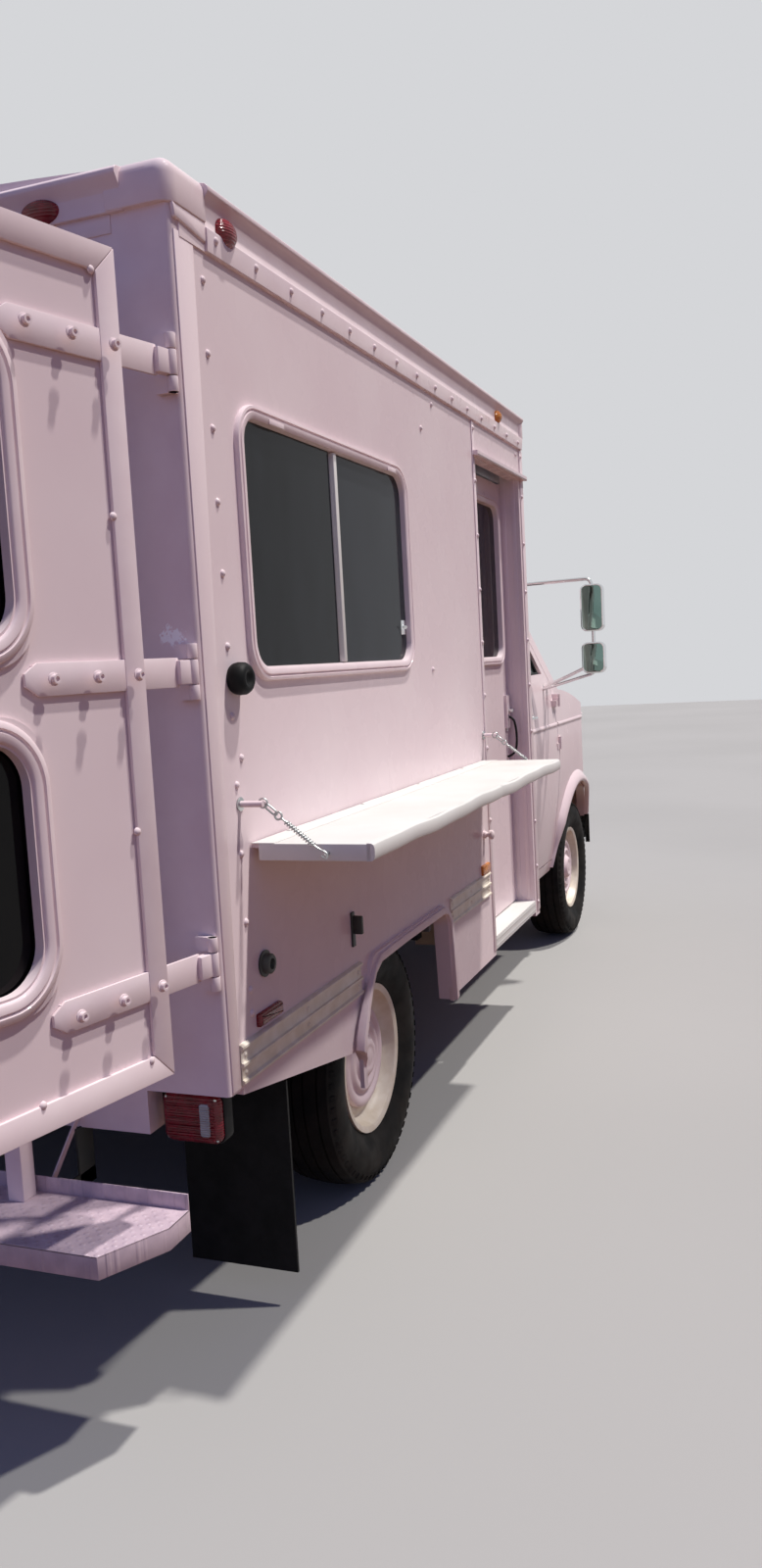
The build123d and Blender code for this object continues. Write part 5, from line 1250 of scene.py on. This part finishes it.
seams = [block(at(x - 0.015, 0, 0.80, 1), at(x + 0.015, 0.0025, 2.430, 1), 0.001)
         for x in [SEAM_START + SEAM_PITCH * k for k in range(4)]]
dress(joined(seams), "left_seam_strips", body_paint)
roof_strips = []
roof_pitch, reach = 0.485, 1.05
strip_top = cad_box[1][2] - 0.0015
for k in range(5):
    rows = []
    for x in (REAR + roof_pitch * (k + 1) - 0.018, REAR + roof_pitch * (k + 1) + 0.018):
        row = []
        for y in [-reach + reach * step / 10 for step in range(21)]:
            place = on_skin("box_roof", (x, y, 2.5), (0, 0, -1))
            row.append((x, y, min(place.z + 0.001, strip_top)))
        rows.append(row)
    roof_strips.append(sheet(rows, 0.002))
dress(joined(roof_strips), "roof_seam_strips", body_paint)

# Mirrors on the cab doors

MIRROR_X = 1.524


def mirror(side):
    """One mirror: two heads with chrome rims, their glasses and the bent tubes."""
    y = side * (HALF + 0.176)
    parts, glasses = [], []
    for low, high, width in ((1.655, 1.880, 0.112), (1.455, 1.605, 0.114)):
        middle, size = (low + high) / 2, (width, high - low)
        parts.append(plate((MIRROR_X + 0.040, y, middle), REAR_SIDE, size, 0.030,
                           ((0.0, 0.022), (0.002, 0.012), (0.004, 0.003), (0.004, -0.001), (0.001, -0.004))))
        parts.append(plate((MIRROR_X + 0.036, y, middle), FRONT_SIDE, size, 0.030,
                           ((0.006, 0.010), (0.012, 0.008), (0.014, 0.003))))
        glasses.append(plate((MIRROR_X + 0.004, y, middle), REAR_SIDE, (width - 0.016, high - low - 0.016),
                             0.024, ((0.001, 0.0005),)))
    # Each tube as its radius and its places: ahead of the mirror, out from the middle of the truck, height
    out = abs(y)
    tubes = (
        (0.009, (0.022, 0.800, 1.895), (0.022, 0.95, 1.90), (0.022, out - 0.06, 1.905), (0.022, out, 1.905),
         (0.022, out, 1.86)),
        (0.009, (0.315, 0.945, 1.385), (0.276, 0.98, 1.398), (0.08, out - 0.06, 1.480),
         (0.034, out - 0.02, 1.500), (0.034, out - 0.01, 1.53)),
        (0.008, (0.220, 0.950, 1.380), (0.176, 0.985, 1.385), (0.06, out - 0.05, 1.445), (0.032, out, 1.455),
         (0.032, out, 1.48)),
    )
    for radius, *places in tubes:
        parts.append(wire([(MIRROR_X + ahead, side * reach, z) for ahead, reach, z in places], radius,
                          sides=4))
    parts.append(bar((MIRROR_X + 0.032, y, 1.59), (MIRROR_X + 0.032, y, 1.67), 0.009))
    for x, start, end, low, high in ((MIRROR_X + 0.315, 0.925, 0.972, 1.38, 1.384),
                                     (MIRROR_X + 0.220, 0.925, 0.972, 1.38, 1.384),
                                     (MIRROR_X + 0.022, 0.792, 0.835, 1.895, 1.8955)):
        parts.append(bar((x, side * start, low), (x, side * end, high), 0.020, 18, 0.003))
    return joined(parts), joined(glasses)


for side, name, turn in SIDES:
    frame_part, glass_part = mirror(side)
    leaf = "cab_door_" + name + "_leaf"
    dress(frame_part, "mirror_frame_" + name, chrome_plate, leaf, hides=("mirror_" + name,), smooth=40)
    dress(glass_part, "mirror_glass_" + name, mirror_glass, leaf)

# Floor, lights and camera

bpy.ops.mesh.primitive_plane_add(size=1, location=(0, 0, -0.001))
floor_width = 60
floor = bpy.context.object
floor.name = "studio_floor"
floor.scale = (floor_width, floor_width, 1)
settle(floor)


def seen(tree):
    """1 for what the camera sees, straight or in metal and glass, and 0 for light that bounces about."""
    rays = node(tree, "ShaderNodeLightPath").outputs
    mirrored = node(tree, "ShaderNodeMath", {0: rays["Is Glossy Ray"], 1: rays["Is Transmission Ray"]},
                    operation="MAXIMUM")
    return node(tree, "ShaderNodeMath", {0: rays["Is Camera Ray"], 1: mirrored.outputs["Value"]},
                operation="MAXIMUM").outputs["Value"]


# Pale studio floor: smooth painted concrete, nearly even. What it throws back on the truck is a dim warm
# brown, as from bare ground, so that the shade under the shelf stays deep
material, tree, shader, place = surface("pale_studio_floor", Specular_IOR_Level=0.1)
pale = patchy(tree, place, 3.0, "#A8A7A4", "#ACABA8", detail=1)
ground = node(tree, "ShaderNodeMix", {"Factor": seen(tree), "A": linear("#6D5039"), "B": pale},
              data_type="RGBA")
tree.links.new(ground.outputs["Result"], shader.inputs["Base Color"])
tree.links.new(ranged(tree, place, 0.2, 0.78, 0.86), shader.inputs["Roughness"])
floor.data.materials.append(material)

world = bpy.data.worlds.new("studio")
bpy.context.scene.world = world
world.use_nodes = True
tree = world.node_tree
tree.nodes.clear()
# Plain light from all sides, a little stronger and more lavender from behind the truck than over it
place = node(tree, "ShaderNodeTexCoord").outputs["Object"]
way = node(tree, "ShaderNodeSeparateXYZ", {"Vector": place})
behind = node(tree, "ShaderNodeMapRange", {"Value": way.outputs["X"], "From Min": 0.1, "From Max": -0.8})
sky = node(tree, "ShaderNodeMix", {"Factor": behind.outputs["Result"], "A": linear("#57546E"),
                                   "B": linear("#7885B9")}, data_type="RGBA")
lit = node(tree, "ShaderNodeBackground", {"Color": sky.outputs["Result"], "Strength": 1.0})
shown = node(tree, "ShaderNodeBackground", {"Color": linear("#D5D6D9"), "Strength": 1.0})
mixed = node(tree, "ShaderNodeMixShader", {"Fac": seen(tree), 1: lit.outputs["Background"],
                                           2: shown.outputs["Background"]})
node(tree, "ShaderNodeOutputWorld", {"Surface": mixed.outputs["Shader"]})

# High key light, and a second one a little lower on the same side that reaches the skirt under the shelf
for name, energy, toward in (("key_light", 2.65, (0.20, -0.28, 1.0)),
                             ("side_light", 1.6, (0.20, -0.567, 1.0))):
    sun = bpy.data.lights.new(name, "SUN")
    sun.energy = energy
    sun.angle = math.radians(2)
    sun.color = (1.0, 0.965, 0.93)
    lamp = bpy.data.objects.new(name, sun)
    bpy.context.scene.collection.objects.link(lamp)
    lamp.rotation_euler = Vector(toward).to_track_quat("Z", "Y").to_euler()

camera_data = bpy.data.cameras.new("camera")
camera_data.lens = 26.775          # fitted to the photo, like its place and its turns
camera_data.sensor_fit = "VERTICAL"
camera_data.sensor_height = 36
camera_data.clip_end = 200
camera = bpy.data.objects.new("camera", camera_data)
bpy.context.scene.collection.objects.link(camera)
camera.location = (-4.0830, -2.2857, 1.5552)
camera.rotation_euler = (math.radians(84.1184), math.radians(3.1233), math.radians(-69.4315))
bpy.context.scene.camera = camera
bpy.context.scene.view_settings.view_transform = "Standard"


bpy.context.view_layer.update()
